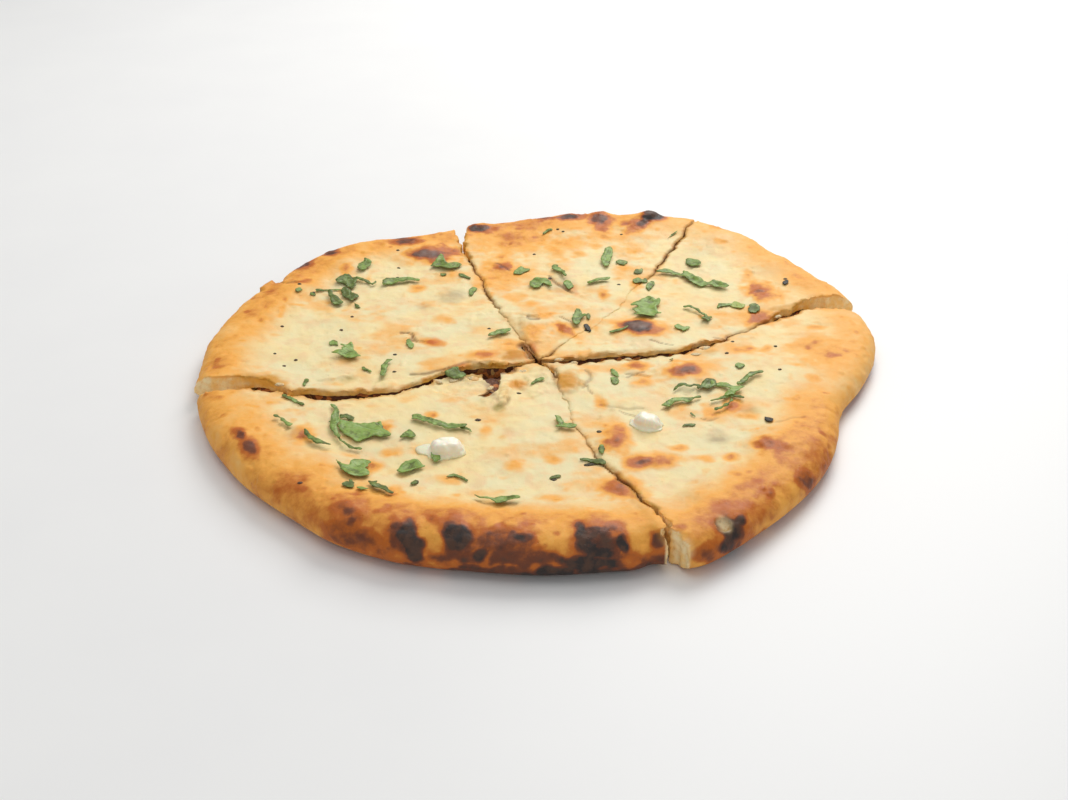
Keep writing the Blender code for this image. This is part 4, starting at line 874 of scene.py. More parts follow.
def cut_sides(cut, jag):
    """The clockwise and the anticlockwise ragged edge of a cut: places, and how wide it gapes there."""
    draw = random.Random("cut " + cut)
    rows = along(CUTS[cut], CUT_SPACING)
    coarse = ([], [])
    for index, (x, y, gap, _) in enumerate(rows):
        before = rows[max(index - 1, 0)]
        after = rows[min(index + 1, len(rows) - 1)]
        run = np.array((after[0] - before[0], after[1] - before[1]))
        run /= np.hypot(*run)
        left = np.array((-run[1], run[0]))
        middle = np.array((x, y)) + left * CUT_JAG * draw.uniform(-1, 1)
        for side, edge in zip((-1, 1), coarse):
            open_by = gap / 2 + EDGE_JAG * draw.random() * min(max(gap, 0) / 1.5, 1)
            edge.append((*(middle + left * side * open_by), *left, gap))
    sides = []
    for side, edge in zip((-1, 1), coarse):
        edge = np.array(edge)
        place = np.arange(0, len(edge) - 1, 0.12)
        fine = np.stack([np.interp(place, np.arange(len(edge)), column) for column in edge.T], 1)
        seed = sorted(CUTS).index(cut) * 10
        flat = np.column_stack((place, place * 0, place * 0))
        shared = grain(flat, 0.42, seed) + 0.6 * grain(flat, 0.2, seed + 1)
        own = grain(flat, 0.35, seed + 3 + side) + 0.9 * grain(flat, 0.17, seed + 6 + side)
        shift = jag * shared + np.clip(0.1 + 0.22 * fine[:, 4], 0, 0.55) * own
        start = smooth(0, 1.2, place)[:, None]
        sides.append(np.column_stack((fine[:, :2] + fine[:, 2:4] * shift[:, None] * start, fine[:, 4])))
    return sides


def slice_outline(name, inset, jag):
    """The outline that keeps one slice, with its cut edges drawn in by inset, and those edges."""
    sides = [cut_sides(cut, jag)[side] for cut, side in zip(SLICES[name], (1, 0))]
    gaps = np.concatenate((sides[0][::-1, 2], sides[0][:1, 2], sides[1][:, 2]))
    first, second = (side[:, :2] for side in sides)
    start = math.atan2(first[-1][1], first[-1][0])
    sweep = (math.atan2(second[-1][1], second[-1][0]) - start) % math.tau
    arc = [
        (math.cos(angle) * OUTSIDE, math.sin(angle) * OUTSIDE)
        for angle in (start + sweep * step / 24 for step in range(1, 24))
    ]
    hub = np.array(HUB)
    inward = sum((side[0] - hub) / np.hypot(*(side[0] - hub)) for side in (first, second))
    inward /= np.hypot(*inward)
    tip = hub + inward * (TIP_DISTANCE + inset)
    shift = inward * inset
    edges = np.vstack((first[::-1] + shift, tip, second + shift))
    return np.vstack((tip, first + shift, arc, second[::-1] + shift)), np.column_stack((edges, gaps))


def prism(name, outline, low, high):
    """An upright block over a flat outline."""
    count = len(outline)
    points = [(x, y, low) for x, y in outline] + [(x, y, high) for x, y in outline]
    cap = tessellate_polygon([[Vector((x, y, 0)) for x, y in outline]])
    faces = []
    for a, b, c in cap:
        turn = (outline[b][0] - outline[a][0]) * (outline[c][1] - outline[a][1])
        turn -= (outline[b][1] - outline[a][1]) * (outline[c][0] - outline[a][0])
        a, b, c = (a, b, c) if turn > 0 else (c, b, a)
        faces += [(c, b, a), (a + count, b + count, c + count)]
    area = sum(
        outline[i - 1][0] * outline[i][1] - outline[i][0] * outline[i - 1][1] for i in range(count)
    )
    for index in range(count):
        after = (index + 1) % count
        wall = [(index, after, after + count), (index, after + count, index + count)]
        faces += wall if area > 0 else [row[::-1] for row in wall]
    return solid(name, points, faces)


def marks(x, y, table, wander, halo=False):
    """How strongly each point is marked by a table's soft patches."""
    level = np.zeros(len(x))
    for middle_x, middle_y, half, half_width, turn, strength in table:
        reach = 1.7 * max(half, half_width) + 4 * (strength > 0.64)
        near = np.flatnonzero((np.abs(x - middle_x) < reach) & (np.abs(y - middle_y) < reach))
        if len(near):
            dx, dy = x[near] - middle_x, y[near] - middle_y
            c, s = math.cos(math.radians(turn)), math.sin(math.radians(turn))
            away = np.hypot((dx * c + dy * s) / half, (dy * c - dx * s) / half_width) + 0.2 * wander[near]
            core = 0.1 + 0.35 * smooth(0.6, 0.85, strength)
            found = strength * (1 - smooth(core, 1.45, away))
            if halo and strength > 0.64:
                found = np.maximum(found, 0.6 * (1 - smooth(0.6, 1.6 + 3 / min(half, half_width), away)))
            level[near] = np.maximum(level[near], found)
    return level


def crack_marks(x, y):
    """Depth, and darkness of the painted shade, that the cracks give each point."""
    depth, dark = np.zeros(len(x)), np.zeros(len(x))
    cracks = CRACKS + tuple((placed(places), *numbers) for places, *numbers in CRACKS_IN_PHOTO)
    for line, half, deep, shade in cracks:
        rows = np.array(along([(*point, 0) for point in line], 0.5))
        low, high = rows.min(0) - 4, rows.max(0) + 4
        near = np.flatnonzero((x > low[0]) & (x < high[0]) & (y > low[1]) & (y < high[1]))
        if len(near):
            away = np.hypot(x[near][:, None] - rows[:, 0], y[near][:, None] - rows[:, 1]).min(1)
            share = 1 - smooth(0.3, 1.9, away / half)
            depth[near] += deep * share
            dark[near] = np.maximum(dark[near], shade * share)
    return depth, dark


def placed(places):
    """Where the camera's lines through columns and rows of the photo meet the marks' level, to 0.1 mm."""
    sine, cosine = math.sin(CAMERA_DIP), math.cos(CAMERA_DIP)
    drop = MARK_LEVEL - CAMERA[2]
    found = []
    for column, row in places:
        across = (column - PHOTO_MIDDLE[0]) / PHOTO_FOCUS
        up = (PHOTO_MIDDLE[1] - row) / PHOTO_FOCUS
        ahead = (-up * drop * sine - drop * cosine) / (sine - up * cosine)
        away = ahead * cosine - drop * sine
        found.append((round(across * away + CAMERA[0], 1), round(ahead + CAMERA[1], 1)))
    return found


def round_stalk(places):
    """The outline of a stalk, from places along its middle and its width at each."""
    left, right = [], []
    for index, (column, row, width) in enumerate(places):
        before = places[max(index - 1, 0)]
        after = places[min(index + 1, len(places) - 1)]
        run_x, run_y = after[0] - before[0], after[1] - before[1]
        length = math.hypot(run_x, run_y)
        out_x, out_y = -run_y / length, run_x / length
        left.append((column + out_x * width / 2, row + out_y * width / 2))
        right.append((column - out_x * width / 2, row - out_y * width / 2))
    return left + right[::-1]


def as_seen(points):
    """Where a line from the camera through each point meets the level the marks were placed at."""
    share = (CAMERA[2] - MARK_LEVEL) / (CAMERA[2] - points[:, 2])
    return CAMERA[0] + (points[:, 0] - CAMERA[0]) * share, CAMERA[1] + (points[:, 1] - CAMERA[1]) * share


def wandering(points, x, y):
    """The marks' places, drawn about so that no outline is even."""
    return (
        x + 1.1 * grain(points, 6, 11) + 0.5 * grain(points, 2.4, 12),
        y + 1.1 * grain(points, 6, 13) + 0.5 * grain(points, 2.4, 14),
    )


def within(x, y, outline):
    """How far inside a flat outline each point lies, below 0 outside it."""
    corners = np.asarray(outline, float)
    inside = np.zeros(len(x), bool)
    away = np.full(len(x), np.inf)
    for start, end in zip(corners, np.roll(corners, -1, axis=0)):
        run = end - start
        share = np.clip(((x - start[0]) * run[0] + (y - start[1]) * run[1]) / max(run @ run, 1e-9), 0, 1)
        away = np.minimum(away, np.hypot(x - start[0] - share * run[0], y - start[1] - share * run[1]))
        if start[1] != end[1]:
            crossing = start[0] + (y - start[1]) * run[0] / run[1]
            inside ^= ((start[1] > y) != (end[1] > y)) & (x < crossing)
    return np.where(inside, away, -away)


def distances(points, edges):
    """How far each point stands from the ragged edges, seen from above, and how wide the cut is there."""
    rows = np.vstack([edges[:-1] + (edges[1:] - edges[:-1]) * share for share in (0, 0.33, 0.67)])
    tree = kdtree.KDTree(len(rows))
    for index, (x, y) in enumerate(rows[:, :2]):
        tree.insert((x, y, 0), index)
    tree.balance()
    found = [tree.find((x, y, 0))[1:] for x, y in points[:, :2]]
    nearest, away = (np.array(column) for column in zip(*found))
    return away, rows[nearest, 2]


def browning_of(points, x, y):
    """How brown the crust is at each point, from 0 to 1."""
    angle = np.arctan2(points[:, 1], points[:, 0])
    reach = np.hypot(points[:, 0], points[:, 1]) / rim_radius(angle)
    level = marks(x, y, BROWNED, grain(points, 3.5, 21) + 0.6 * grain(points, 1.7, 30), True)
    spread = points * (0.65, 1, 1)
    patches = grain(spread, 13, 22) + 0.75 * grain(spread, 5.5, 23) + 0.45 * grain(spread, 2.4, 28)
    patches = 0.27 * smooth(-0.85, 1.0, patches) * (1 - 0.9 * marks(x, y, PALE, grain(points, 6, 29)))
    rim = smooth(0.72, 0.93, reach)
    mottled = 1 + 0.24 * grain(points, 14, 24) + 0.12 * grain(points, 5, 25)
    level = np.maximum(level, patches) + 0.35 * np.minimum(level, patches)
    level = np.maximum(level, rim * round_the_rim(RIM_BROWNING, angle) * mottled)
    level *= 1 + 0.09 * grain(points, 3.2, 26) + 0.06 * grain(points, 1.5, 31)
    level += (0.38 - level) * marks(x, y, GILDED, grain(points, 2.6, 32)) * (level > 0.38)
    freckles = 0.12 * smooth(0.45, 0.9, grain(points, 3.6, 27))
    under = smooth(0.5, -0.3, points[:, 2] - 3.2) * rim
    return np.maximum(level + freckles, under * (0.5 + 0.25 * grain(points, 6, 26)))


def shape_crust(thing, edges, relief):
    """Wrinkles, cracks, peeled layers and ragged walls on a slice that is smooth so far."""
    points, normals = points_of(thing.data), normals_of(thing.data)
    x, y = wandering(points, *as_seen(points))
    up = smooth(-0.3, 0.3, normals[:, 2])
    base = smooth(-0.5, -0.85, normals[:, 2])
    away, gap = distances(points, edges)
    gapes = smooth(0.1, 1.3, gap)
    wall = (1 - smooth(0.35, 1.0, away)) * (1 - smooth(0.55, 0.85, np.abs(normals[:, 2])))
    brown = browning_of(points, x, y)
    lift = 0.28 * grain(points, 8.5, 31) + 0.22 * grain(points, 3.4, 32) + 0.11 * grain(points, 1.6, 33)
    lift += brown * (0.22 * grain(points, 2.3, 34) + 0.12 * grain(points, 1.3, 35))
    blisters, pits = grain(points, 4.2, 36), grain(points, 2.2, 37)
    lift += 0.45 * smooth(0.62, 0.9, blisters) - 0.3 * smooth(0.62, 0.9, pits)
    edge = np.exp(-((away / 1.6) ** 2))
    ragged = 0.42 * grain(points, 1.9, 38) + 0.3 * grain(points, 4.5, 39) + 0.2 * grain(points, 1.2, 40)
    lift += edge * (0.25 + 0.75 * gapes) * ragged
    groove = (1 - smooth(0.3, 1.2, gap)) * smooth(-0.8, -0.1, gap)
    lift -= (0.06 * (1 - gapes) + 0.55 * groove) * np.exp(-((away / 0.7) ** 2))
    lift -= crack_marks(x, y)[0]
    for middle_x, middle_y, half, half_width, turn, height in PEELED:
        share = marks(x, y, ((middle_x, middle_y, half, half_width, turn, 1.0),), grain(points, 2.4, 41))
        lift += height * smooth(0.42, 0.6, share)
    for height, *places in LAYERS:
        inner = within(x, y, placed(places)) + 0.5 * grain(points, 2.2, 45)
        flaky = 0.3 * grain(points, 2.0, 46) + 0.2 * grain(points, 1.1, 47)
        lift += smooth(-0.7, 0.7, inner) * (height + flaky)
    lift *= up * (1 - wall)
    lift += wall * gapes * (0.34 * grain(points * (1, 1, 1.9), 2.1, 42) + 0.16 * grain(points, 1.2, 43))
    lift -= base * 0.12 * (1 + grain(points, 3, 44))
    points = points + normals * (lift * relief)[:, None]
    points[:, 2] = np.maximum(points[:, 2], 0)
    move_points(thing.data, points)


def mark_crust(mesh, edges, form, browning):
    """Stores how brown, torn and tinted each point is, how dark the painted shade in its cracks and closed
    seams is, and whether it lies underneath.
    """
    points, normals = points_of(mesh), normals_of(mesh)
    x, y = wandering(points, *as_seen(points))
    away, gap = distances(points, edges)
    gapes = smooth(0.15, 1.0, gap)
    flat = np.abs(normals[:, 2])
    angle = np.arctan2(points[:, 1], points[:, 0])
    reach = np.hypot(points[:, 0], points[:, 1]) / rim_radius(angle)
    depth = body_height(np.minimum(reach, CREST_REACH), angle) + form.bumps(points[:, 0], points[:, 1])
    depth -= points[:, 2]
    inside = smooth(0.8, 1.6, depth) * (1 - smooth(0.86, 0.9, reach)) * (points[:, 2] > 1.2)
    near = 1 - smooth(0.3, 0.9, away)
    torn = np.maximum(inside, gapes * near * (1 - smooth(0.5, 0.85, flat)) * smooth(0.5, 1.3, depth))
    brown = browning_of(points, x, y) * browning
    under = np.minimum(1.25 * smooth(0.5, -0.2, points[:, 2]) * smooth(0.2, -0.6, normals[:, 2]), 1)
    brown += (0.32 - brown) * under
    dark = crack_marks(x, y)[1] * (1 - under)
    wander = grain(points, 2.2, 53)
    tints = {name: marks(x, y, table, wander) * (1 - under) for name, table in TINTED.items()}
    lip = (1 - smooth(0.3, 1.7, away)) * smooth(-0.6, 0.2, gap) * (0.6 + 0.5 * grain(points, 3.2, 54))
    lip *= 1 - smooth(0.84, 0.92, reach)
    tints["stain"] = np.maximum(tints["stain"], lip)
    tints["rust"] = np.maximum(tints["rust"], lip * smooth(0, 0.6, grain(points, 5, 55)))
    tints["olive"] = np.maximum(tints["olive"], lip * smooth(0.1, 0.6, grain(points, 4, 56)))
    # Painted shade along the closed cuts, where the two slices meet in a narrow groove
    seam_shade = (1 - smooth(0.2, 0.9, away)) * (1 - smooth(0.3, 1.0, gap)) * smooth(-0.75, 0.1, gap)
    dark = np.maximum(dark, seam_shade * (0.62 + 0.4 * grain(points, 2.6, 57)))
    store(mesh, "brown", brown)
    store(mesh, "torn", np.maximum(torn, tints.pop("cream")))
    store(mesh, "crack_and_seam_shade", dark)
    store(mesh, "under", under)
    for name, values in tints.items():
        store(mesh, name, values)


class Wire:
    """An output socket that takes part in sums like a number, and makes the nodes that follow."""

    def __init__(self, tree, socket):
        self.tree = tree
        self.socket = socket

    def node(self, kind, settings, values, output=0):
        """A new node, with its settings, its inputs and the output that follows."""
        made = self.tree.nodes.new(kind)
        for key, value in settings.items():
            setattr(made, key, value)
        for key, value in values.items():
            if isinstance(value, Wire):
                self.tree.links.new(value.socket, made.inputs[key])
            else:
                made.inputs[key].default_value = value
        return Wire(self.tree, made.outputs[output])

    def sum(self, operation, first, second):
        """A Math node."""
        return self.node("ShaderNodeMath", {"operation": operation}, {0: first, 1: second})

    def __add__(self, other):
        return self.sum("ADD", self, other)

    def __sub__(self, other):
        return self.sum("SUBTRACT", self, other)

    def __rsub__(self, other):
        return self.sum("SUBTRACT", other, self)

    def __mul__(self, other):
        return self.sum("MULTIPLY", self, other)

    __radd__ = __add__
    __rmul__ = __mul__

    def least(self, other):
        """The smaller of the two."""
        return self.sum("MINIMUM", self, other)

    def smooth(self, low, high):
        """A smooth step from 0 at low to 1 at high."""
        values = {"Value": self, "From Min": low, "From Max": high}
        return self.node("ShaderNodeMapRange", {"interpolation_type": "SMOOTHSTEP"}, values)

    def blend(self, first, second):
        """Colour from first to second by this factor."""
        first, second = (c if isinstance(c, Wire) else (*c, 1) for c in (first, second))
        return self.node("ShaderNodeMix", {"data_type": "RGBA"}, {0: self, 6: first, 7: second}, 2)


class Paint:
    """A new material and what its nodes start from."""

    def __init__(self, name):
        self.material = bpy.data.materials.new(name)
        self.material.use_nodes = True
        self.tree = self.material.node_tree
        self.shader = self.tree.nodes["Principled BSDF"]
        self.start = Wire(self.tree, None)
        self.place = self.start.node("ShaderNodeTexCoord", {}, {}, "Object")

    def number(self, name):
        """A number stored on the mesh."""
        return self.start.node("ShaderNodeAttribute", {"attribute_name": name}, {}, "Fac")

    def noise(self, size, detail=3.0, roughness=0.55, distortion=0.0):
        """Random numbers about 0.5 that change over a size in millimetres."""
        values = {
            "Vector": self.place, "Scale": 1 / (size * MM), "Detail": detail,
            "Roughness": roughness, "Distortion": distortion,
        }
        return self.start.node("ShaderNodeTexNoise", {}, values)

    def cells(self, size, output="Distance"):
        """Distance to the nearest of scattered points about a size in millimetres apart, or its colour."""
        values = {"Vector": self.place, "Scale": 1 / (size * MM)}
        return self.start.node("ShaderNodeTexVoronoi", {}, values, output)

    def bump(self, height, distance, strength=1.0):
        """Normals bent by a height, over a distance in millimetres."""
        values = {"Height": height, "Distance": distance * MM, "Strength": strength}
        return self.start.node("ShaderNodeBump", {}, values)

    def set(self, **values):
        """Fills the shader's inputs and returns the material."""
        for key, value in values.items():
            socket = self.shader.inputs[key.replace("_", " ")]
            if isinstance(value, Wire):
                self.tree.links.new(value.socket, socket)
            else:
                socket.default_value = value
        return self.material


def dough_paint(look):
    """Crust from pale to charred, its tints, the torn inside, and painted shade in the cracks and closed
    seams.
    """
    paint = Paint("crust")
    brown, torn, crack_and_seam_shade = paint.number("brown"), paint.number("torn"), paint.number("crack_and_seam_shade")
    broad, middling, fine = paint.noise(22, 4), paint.noise(4.5, 3, 0.55, 0.3), paint.noise(0.9, 4, 0.65)
    warm = paint.noise(9, 4, 0.6, 0.4)
    heat = brown + (middling - 0.5) * (0.05 + 0.30 * brown) + (fine - 0.5) * (0.02 + 0.16 * brown)
    blotches = paint.noise(13, 4, 0.6).smooth(0.5, 0.68)
    heat = heat + (broad - 0.5) * 0.12 + paint.number("under") * (blotches * 0.5 - 0.04)
    colour = broad.smooth(0.38, 0.62).blend(look.dough, look.dough_cool)
    colour = (warm.smooth(0.46, 0.66) * 0.6).blend(colour, look.dough_warm)
    colour = heat.smooth(0.03, 0.42).blend(colour, look.golden)
    colour = heat.smooth(0.36, 0.60).blend(colour, look.toasted)
    colour = heat.smooth(0.58, 0.82).blend(colour, look.scorched)
    burnt = middling.smooth(0.4, 0.62).blend(look.charred, srgb(84, 58, 44))
    colour = heat.smooth(0.80, 1.0).blend(colour, burnt)
    for name in ("plum", "rust", "olive", "stain"):
        patchy = paint.number(name) * (0.7 + 1.1 * (middling - 0.35))
        colour = patchy.least(0.92).blend(colour, getattr(look, name))
    damp = tuple(a * b for a, b in zip(look.dough_cool, (0.66, 0.64, 0.58)))
    colour = (paint.number("shade") * (0.5 + 0.8 * (middling - 0.3))).least(0.9).blend(colour, damp)
    inner = middling.smooth(0.35, 0.62).blend(srgb(252, 208, 132), look.crumb)
    inner = ((1 - fine.smooth(0.3, 0.5)) * 0.4).blend(inner, srgb(228, 172, 98))
    ochre = srgb(244, 184, 66)
    inner = (paint.number("stain") * 0.9).least(0.9).blend(inner, ochre)
    inner = (warm.smooth(0.5, 0.7) * 0.3).blend(inner, ochre)
    colour = torn.least(1.0).blend(colour, inner)
    # Painted shade: dark brown in the cracks and closed seams
    colour = (crack_and_seam_shade * 0.85).blend(colour, srgb(104, 58, 30))
    pits = 1 - paint.cells(1.3).smooth(0.0, 0.35)
    pores = paint.noise(1.6, 2, 0.5).smooth(0.58, 0.75) * pits
    height = fine * 0.35 + middling * 0.5 - pores * 0.5 + paint.noise(0.35, 2) * 0.12
    roughness = 0.60 - 0.14 * heat.smooth(0.3, 0.7) + 0.16 * (fine - 0.5)
    return paint.set(
        Base_Color=colour, Roughness=roughness, Normal=paint.bump(height, 0.5, 0.8),
        Subsurface_Weight=0.05, Subsurface_Scale=1.0 * MM, Specular_IOR_Level=0.32,
    )


def filling_paint(look):
    """Moist spiced filling with lumps of vegetable."""
    paint = Paint("stuffing")
    lumps = paint.cells(2.2, "Color")
    lump = paint.start.node("ShaderNodeSeparateColor", {}, {0: lumps})
    fine = paint.noise(0.8, 4, 0.6)
    colour = fine.smooth(0.35, 0.65).blend(tuple(c * 0.5 for c in look.filling), look.filling)
    colour = lump.smooth(0.72, 0.8).blend(colour, srgb(190, 110, 45))
    colour = (lump.smooth(0.94, 0.97) * 0.6).blend(colour, srgb(120, 112, 48))
    colour = (1 - lump.smooth(0.05, 0.1)).blend(colour, srgb(196, 148, 84))
    height = paint.cells(1.1) * -0.7 + fine * 0.5
    return paint.set(Base_Color=colour, Roughness=0.5 + 0.2 * fine, Normal=paint.bump(height, 0.6))


def leaf_paint(look):
    """Coriander with veins, dark old leaves, and painted highlights and painted shade on its folds."""
    paint = Paint("leaf")
    fan, run, tone = paint.number("fan"), paint.number("run"), paint.number("tone")
    patchy, fine = paint.noise(2.2, 4, 0.65), paint.noise(0.45, 3)
    green = (tone + (patchy.smooth(0.36, 0.64) - 0.5) * 0.55).smooth(-0.05, 0.85)
    colour = green.blend(look.leaf_dark, look.leaf)
    # Painted highlight on the folds' crests and painted shade in their troughs, both from one noise
    fold_light_and_shade = paint.noise(3.6, 3, 0.6)
    colour = (fold_light_and_shade.smooth(0.52, 0.66) * 0.6).blend(colour, srgb(166, 188, 118))
    colour = (1 - fold_light_and_shade.smooth(0.34, 0.46)).blend(colour, srgb(96, 108, 40))
    colour = (tone.smooth(0.86, 1.0) * 0.6).blend(colour, srgb(178, 184, 92))
    wave = paint.start.sum("PINGPONG", fan + (patchy - 0.5) * 0.5, 1.0)
    veins = (1 - wave.smooth(0.0, 0.2)) * run.smooth(0.4, 2.0)
    colour = (veins * 0.35).blend(colour, srgb(160, 184, 132))
    colour = (1 - tone.smooth(-0.12, 0.02)).blend(colour, srgb(44, 40, 28))
    height = fine * 0.25 - veins * 0.5 + patchy * 0.5
    return paint.set(
        Base_Color=colour, Roughness=0.46 + 0.2 * (fine - 0.5), Normal=paint.bump(height, 0.3, 0.8),
        Subsurface_Weight=0.08, Subsurface_Scale=0.5 * MM, Specular_IOR_Level=0.35,
    )


def butter_paint(look):
    """Butter that turns clearer and wetter where it melts."""
    paint = Paint("butter")
    melt = paint.number("melt")
    soft, fine = paint.noise(2.6, 3), paint.noise(0.6, 3)
    cool = tuple(a * b for a, b in zip(look.butter, (0.94, 0.95, 0.90)))
    colour = soft.smooth(0.3, 0.7).blend(cool, look.butter)
    colour = (melt * 0.7).blend(colour, srgb(232, 226, 182))
    height = soft * 0.7 + fine * 0.12
    return paint.set(
        Base_Color=colour, Roughness=0.42 - 0.24 * melt + 0.08 * (fine - 0.5),
        Normal=paint.bump(height, 0.5, 0.6), Subsurface_Weight=0.2, Subsurface_Scale=2.0 * MM,
        Coat_Weight=0.15, Coat_Roughness=0.2,
    )


def speck_paint():
    """Dark seeds and spices."""
    paint = Paint("specks")
    fine, soft = paint.noise(0.5, 3), paint.noise(6, 2)
    colour = fine.smooth(0.35, 0.7).blend(srgb(48, 40, 28), srgb(96, 84, 52))
    colour = soft.smooth(0.52, 0.6).blend(colour, srgb(88, 60, 38))
    return paint.set(Base_Color=colour, Roughness=0.5 + 0.2 * fine, Normal=paint.bump(fine, 0.2))


def crumb_paint(look):
    """Torn crumbs of dough."""
    paint = Paint("crumbs")
    fine, soft = paint.noise(0.7, 4), paint.noise(5, 2)
    dark, pale = (tuple(value * share for value in look.crumb) for share in (0.55, 0.85))
    colour = fine.smooth(0.35, 0.65).blend(dark, pale)
    colour = (soft.smooth(0.5, 0.62) * 0.5).blend(colour, look.golden)
    return paint.set(Base_Color=colour, Roughness=0.6 + 0.1 * fine, Normal=paint.bump(fine, 0.4))


def floor_paint():
    """A plain light table."""
    paint = Paint("floor")
    soft = paint.noise(60, 3)
    colour = soft.blend((0.84, 0.84, 0.84), (0.88, 0.88, 0.87))
    return paint.set(Base_Color=colour, Roughness=0.42 + 0.05 * (soft - 0.5), Specular_IOR_Level=0.3)


def finish_piece(thing, material, slot_name, *nodes):
    """Gives a piece its material, smooth shading and the root body, and hides the CAD nodes it stands for.
    """
    thing.data.materials.clear()
    thing.data.materials.append(material)
    thing.data.shade_smooth()
    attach(thing, "root")
    if nodes:
        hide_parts(*nodes)


def joined(name, things):
    """One mesh object from several."""
    points, faces, numbers = [], [], {}
    start = 0
    for own_points, own_faces, own_numbers in things:
        points.append(own_points)
        faces += [[start + index for index in face] for face in own_faces]
        for key, values in own_numbers.items():
            numbers.setdefault(key, []).append(values)
        start += len(own_points)
    made = solid(name, np.vstack(points), faces)
    for key, values in numbers.items():
        store(made.data, key, np.concatenate(values))
    return made


class Ground(Plan):
    """Height of the visible crust under any place, bridging the cuts."""

    def __init__(self):
        found = [thing for thing in bpy.data.objects if thing.name.startswith("crust_")]
        if not found:
            raise RuntimeError("build the crust first")
        super().__init__(lambda x, y: x * 0, 1.0)
        for thing in found:
            points = points_of(thing.data)
            cells = np.round((points[:, :2] + self.SPAN) / self.spacing).astype(int)
            np.maximum.at(self.values, (cells[:, 0], cells[:, 1]), points[:, 2])
        solid_here = (self.values > 5).astype(float)
        total, weight = self.values * solid_here, solid_here
        for _ in range(6):
            total, weight = (self.spread(grid) for grid in (total, weight))
        near = np.where(weight > 0.3, total / np.maximum(weight, 0.3) - 0.4, 0)
        self.values = np.maximum(self.values, near)
        self.top = self.values.copy()
        for axis in (0, 1):
            rolled = (np.roll(self.top, step, axis) for step in (-1, 0, 1))
            self.top = np.maximum.reduce(list(rolled))
        self.top = self.spread(self.top)

    @staticmethod
    def spread(grid):
        """Evens out a grid by one step."""
        for axis in (0, 1):
            grid = (np.roll(grid, 1, axis) + 2 * grid + np.roll(grid, -1, axis)) / 4
        return grid

    def above(self, x, y):
        """Height that clears the crust's small bumps."""
        bare, self.values = self.values, self.top
        found = self.read(x, y)
        self.values = bare
        return found


def closed(points, spacing):
    """Places every spacing or so round the smooth closed curve through points."""
    rows = []
    for index in range(len(points)):
        near = [points[(index + step) % len(points)] for step in (-1, 0, 1, 2)]
        steps = max(1, round(math.dist(near[1], near[2]) / spacing))
        rows += [[between(*column, step / steps) for column in zip(*near)] for step in range(steps)]
    return np.array(rows)


def leaf(ground, places, thickness, tone, seed, clearance, spacing):
    """A thin closed leaf that lies over the crust, from its outline or midline in the photo."""
    outline = round_stalk(places) if len(places[0]) == 3 else places
    seen = closed(placed(outline), 0.4)
    height = MARK_LEVEL
    for _ in range(2):
        share = (CAMERA[2] - height) / (CAMERA[2] - MARK_LEVEL)
        rim = CAMERA[:2] + (seen - CAMERA[:2]) * share
        height = float(ground.read(*rim.mean(0))) + clearance
    tangent = np.roll(rim, -1, axis=0) - np.roll(rim, 1, axis=0)
    tangent /= np.maximum(np.hypot(*tangent.T), 1e-6)[:, None]
    flat = np.column_stack((rim, rim[:, 0] * 0 + seed * 7.0))
    teeth = 0.36 * grain(flat, 1.5, 61) + 0.26 * grain(flat, 0.75, 62)
    rim = rim + np.column_stack((tangent[:, 1], -tangent[:, 0])) * teeth[:, None]
    low, high = rim.min(0), rim.max(0)
    x, y = np.meshgrid(np.arange(low[0], high[0], spacing), np.arange(low[1], high[1], spacing * 0.87))
    x[1::2] += spacing / 2
    x, y = x.ravel(), y.ravel()
    deep = within(x, y, rim)
    kept = deep > 0.5 * spacing
    inner = np.column_stack((x[kept], y[kept])) + 0.12 * np.column_stack(
        [grain(np.column_stack((x[kept], y[kept], x[kept] * 0)), 0.7, seed + step) for step in (0, 1)]
    )
    flat = np.vstack((rim, inner))
    loop = list(range(len(rim)))
    made = delaunay_2d_cdt([Vector(point) for point in flat], [], [loop], 1, 1e-5)
    flat = np.array([tuple(point) for point in made[0]])
    used = sorted({index for face in made[2] for index in face})
    place = {old: new for new, old in enumerate(used)}
    flat, sheet = flat[used], [[place[index] for index in face] for face in made[2]]
    deep = np.maximum(within(*flat.T, rim), 0)
    solid_flat = np.column_stack((flat, flat[:, 0] * 0 + seed * 3.0))
    span = high - low
    curl = min(math.hypot(*span), 18) * 0.055 * (1 - smooth(0, 2.6, deep))
    curl *= 0.55 + 0.6 * grain(solid_flat, 5, 65)
    lively = min(1, clearance * 2.5)
    lift = clearance * (0.6 + 0.4 * grain(solid_flat, 3.0, 63))
    lift += (0.4 * (1 + grain(solid_flat, 3.1, 64)) + 0.16 * grain(solid_flat, 1.6, 66)) * lively
    z = ground.above(*flat.T) + np.maximum(lift + curl * lively, 0.08)
    edges = {}
    for face in sheet:
        turn = (flat[face[1]] - flat[face[0]])[0] * (flat[face[2]] - flat[face[0]])[1]
        turn -= (flat[face[1]] - flat[face[0]])[1] * (flat[face[2]] - flat[face[0]])[0]
        if turn < 0:
            face.reverse()
        for a, b in zip(face, face[1:] + face[:1]):
            edges[a, b] = edges.get((a, b), 0) + 1
    total = len(flat)
    faces = sheet + [[index + total for index in face[::-1]] for face in sheet]
    for a, b in edges:
        if (b, a) not in edges:
            faces += [(a, a + total, b + total), (a, b + total, b)]
    stem = flat[np.argmin(flat @ (math.cos(seed), math.sin(seed)))]
    away = flat - stem
    numbers = {
        "fan": np.tile(np.arctan2(away[:, 1], away[:, 0]) * 4.5, 2),
        "run": np.tile(np.hypot(*away.T), 2),
        "tone": np.full(total * 2, tone),
    }
    top, bottom = np.column_stack((flat, z + thickness)), np.column_stack((flat, z))
    return np.vstack((top, bottom)), faces, numbers


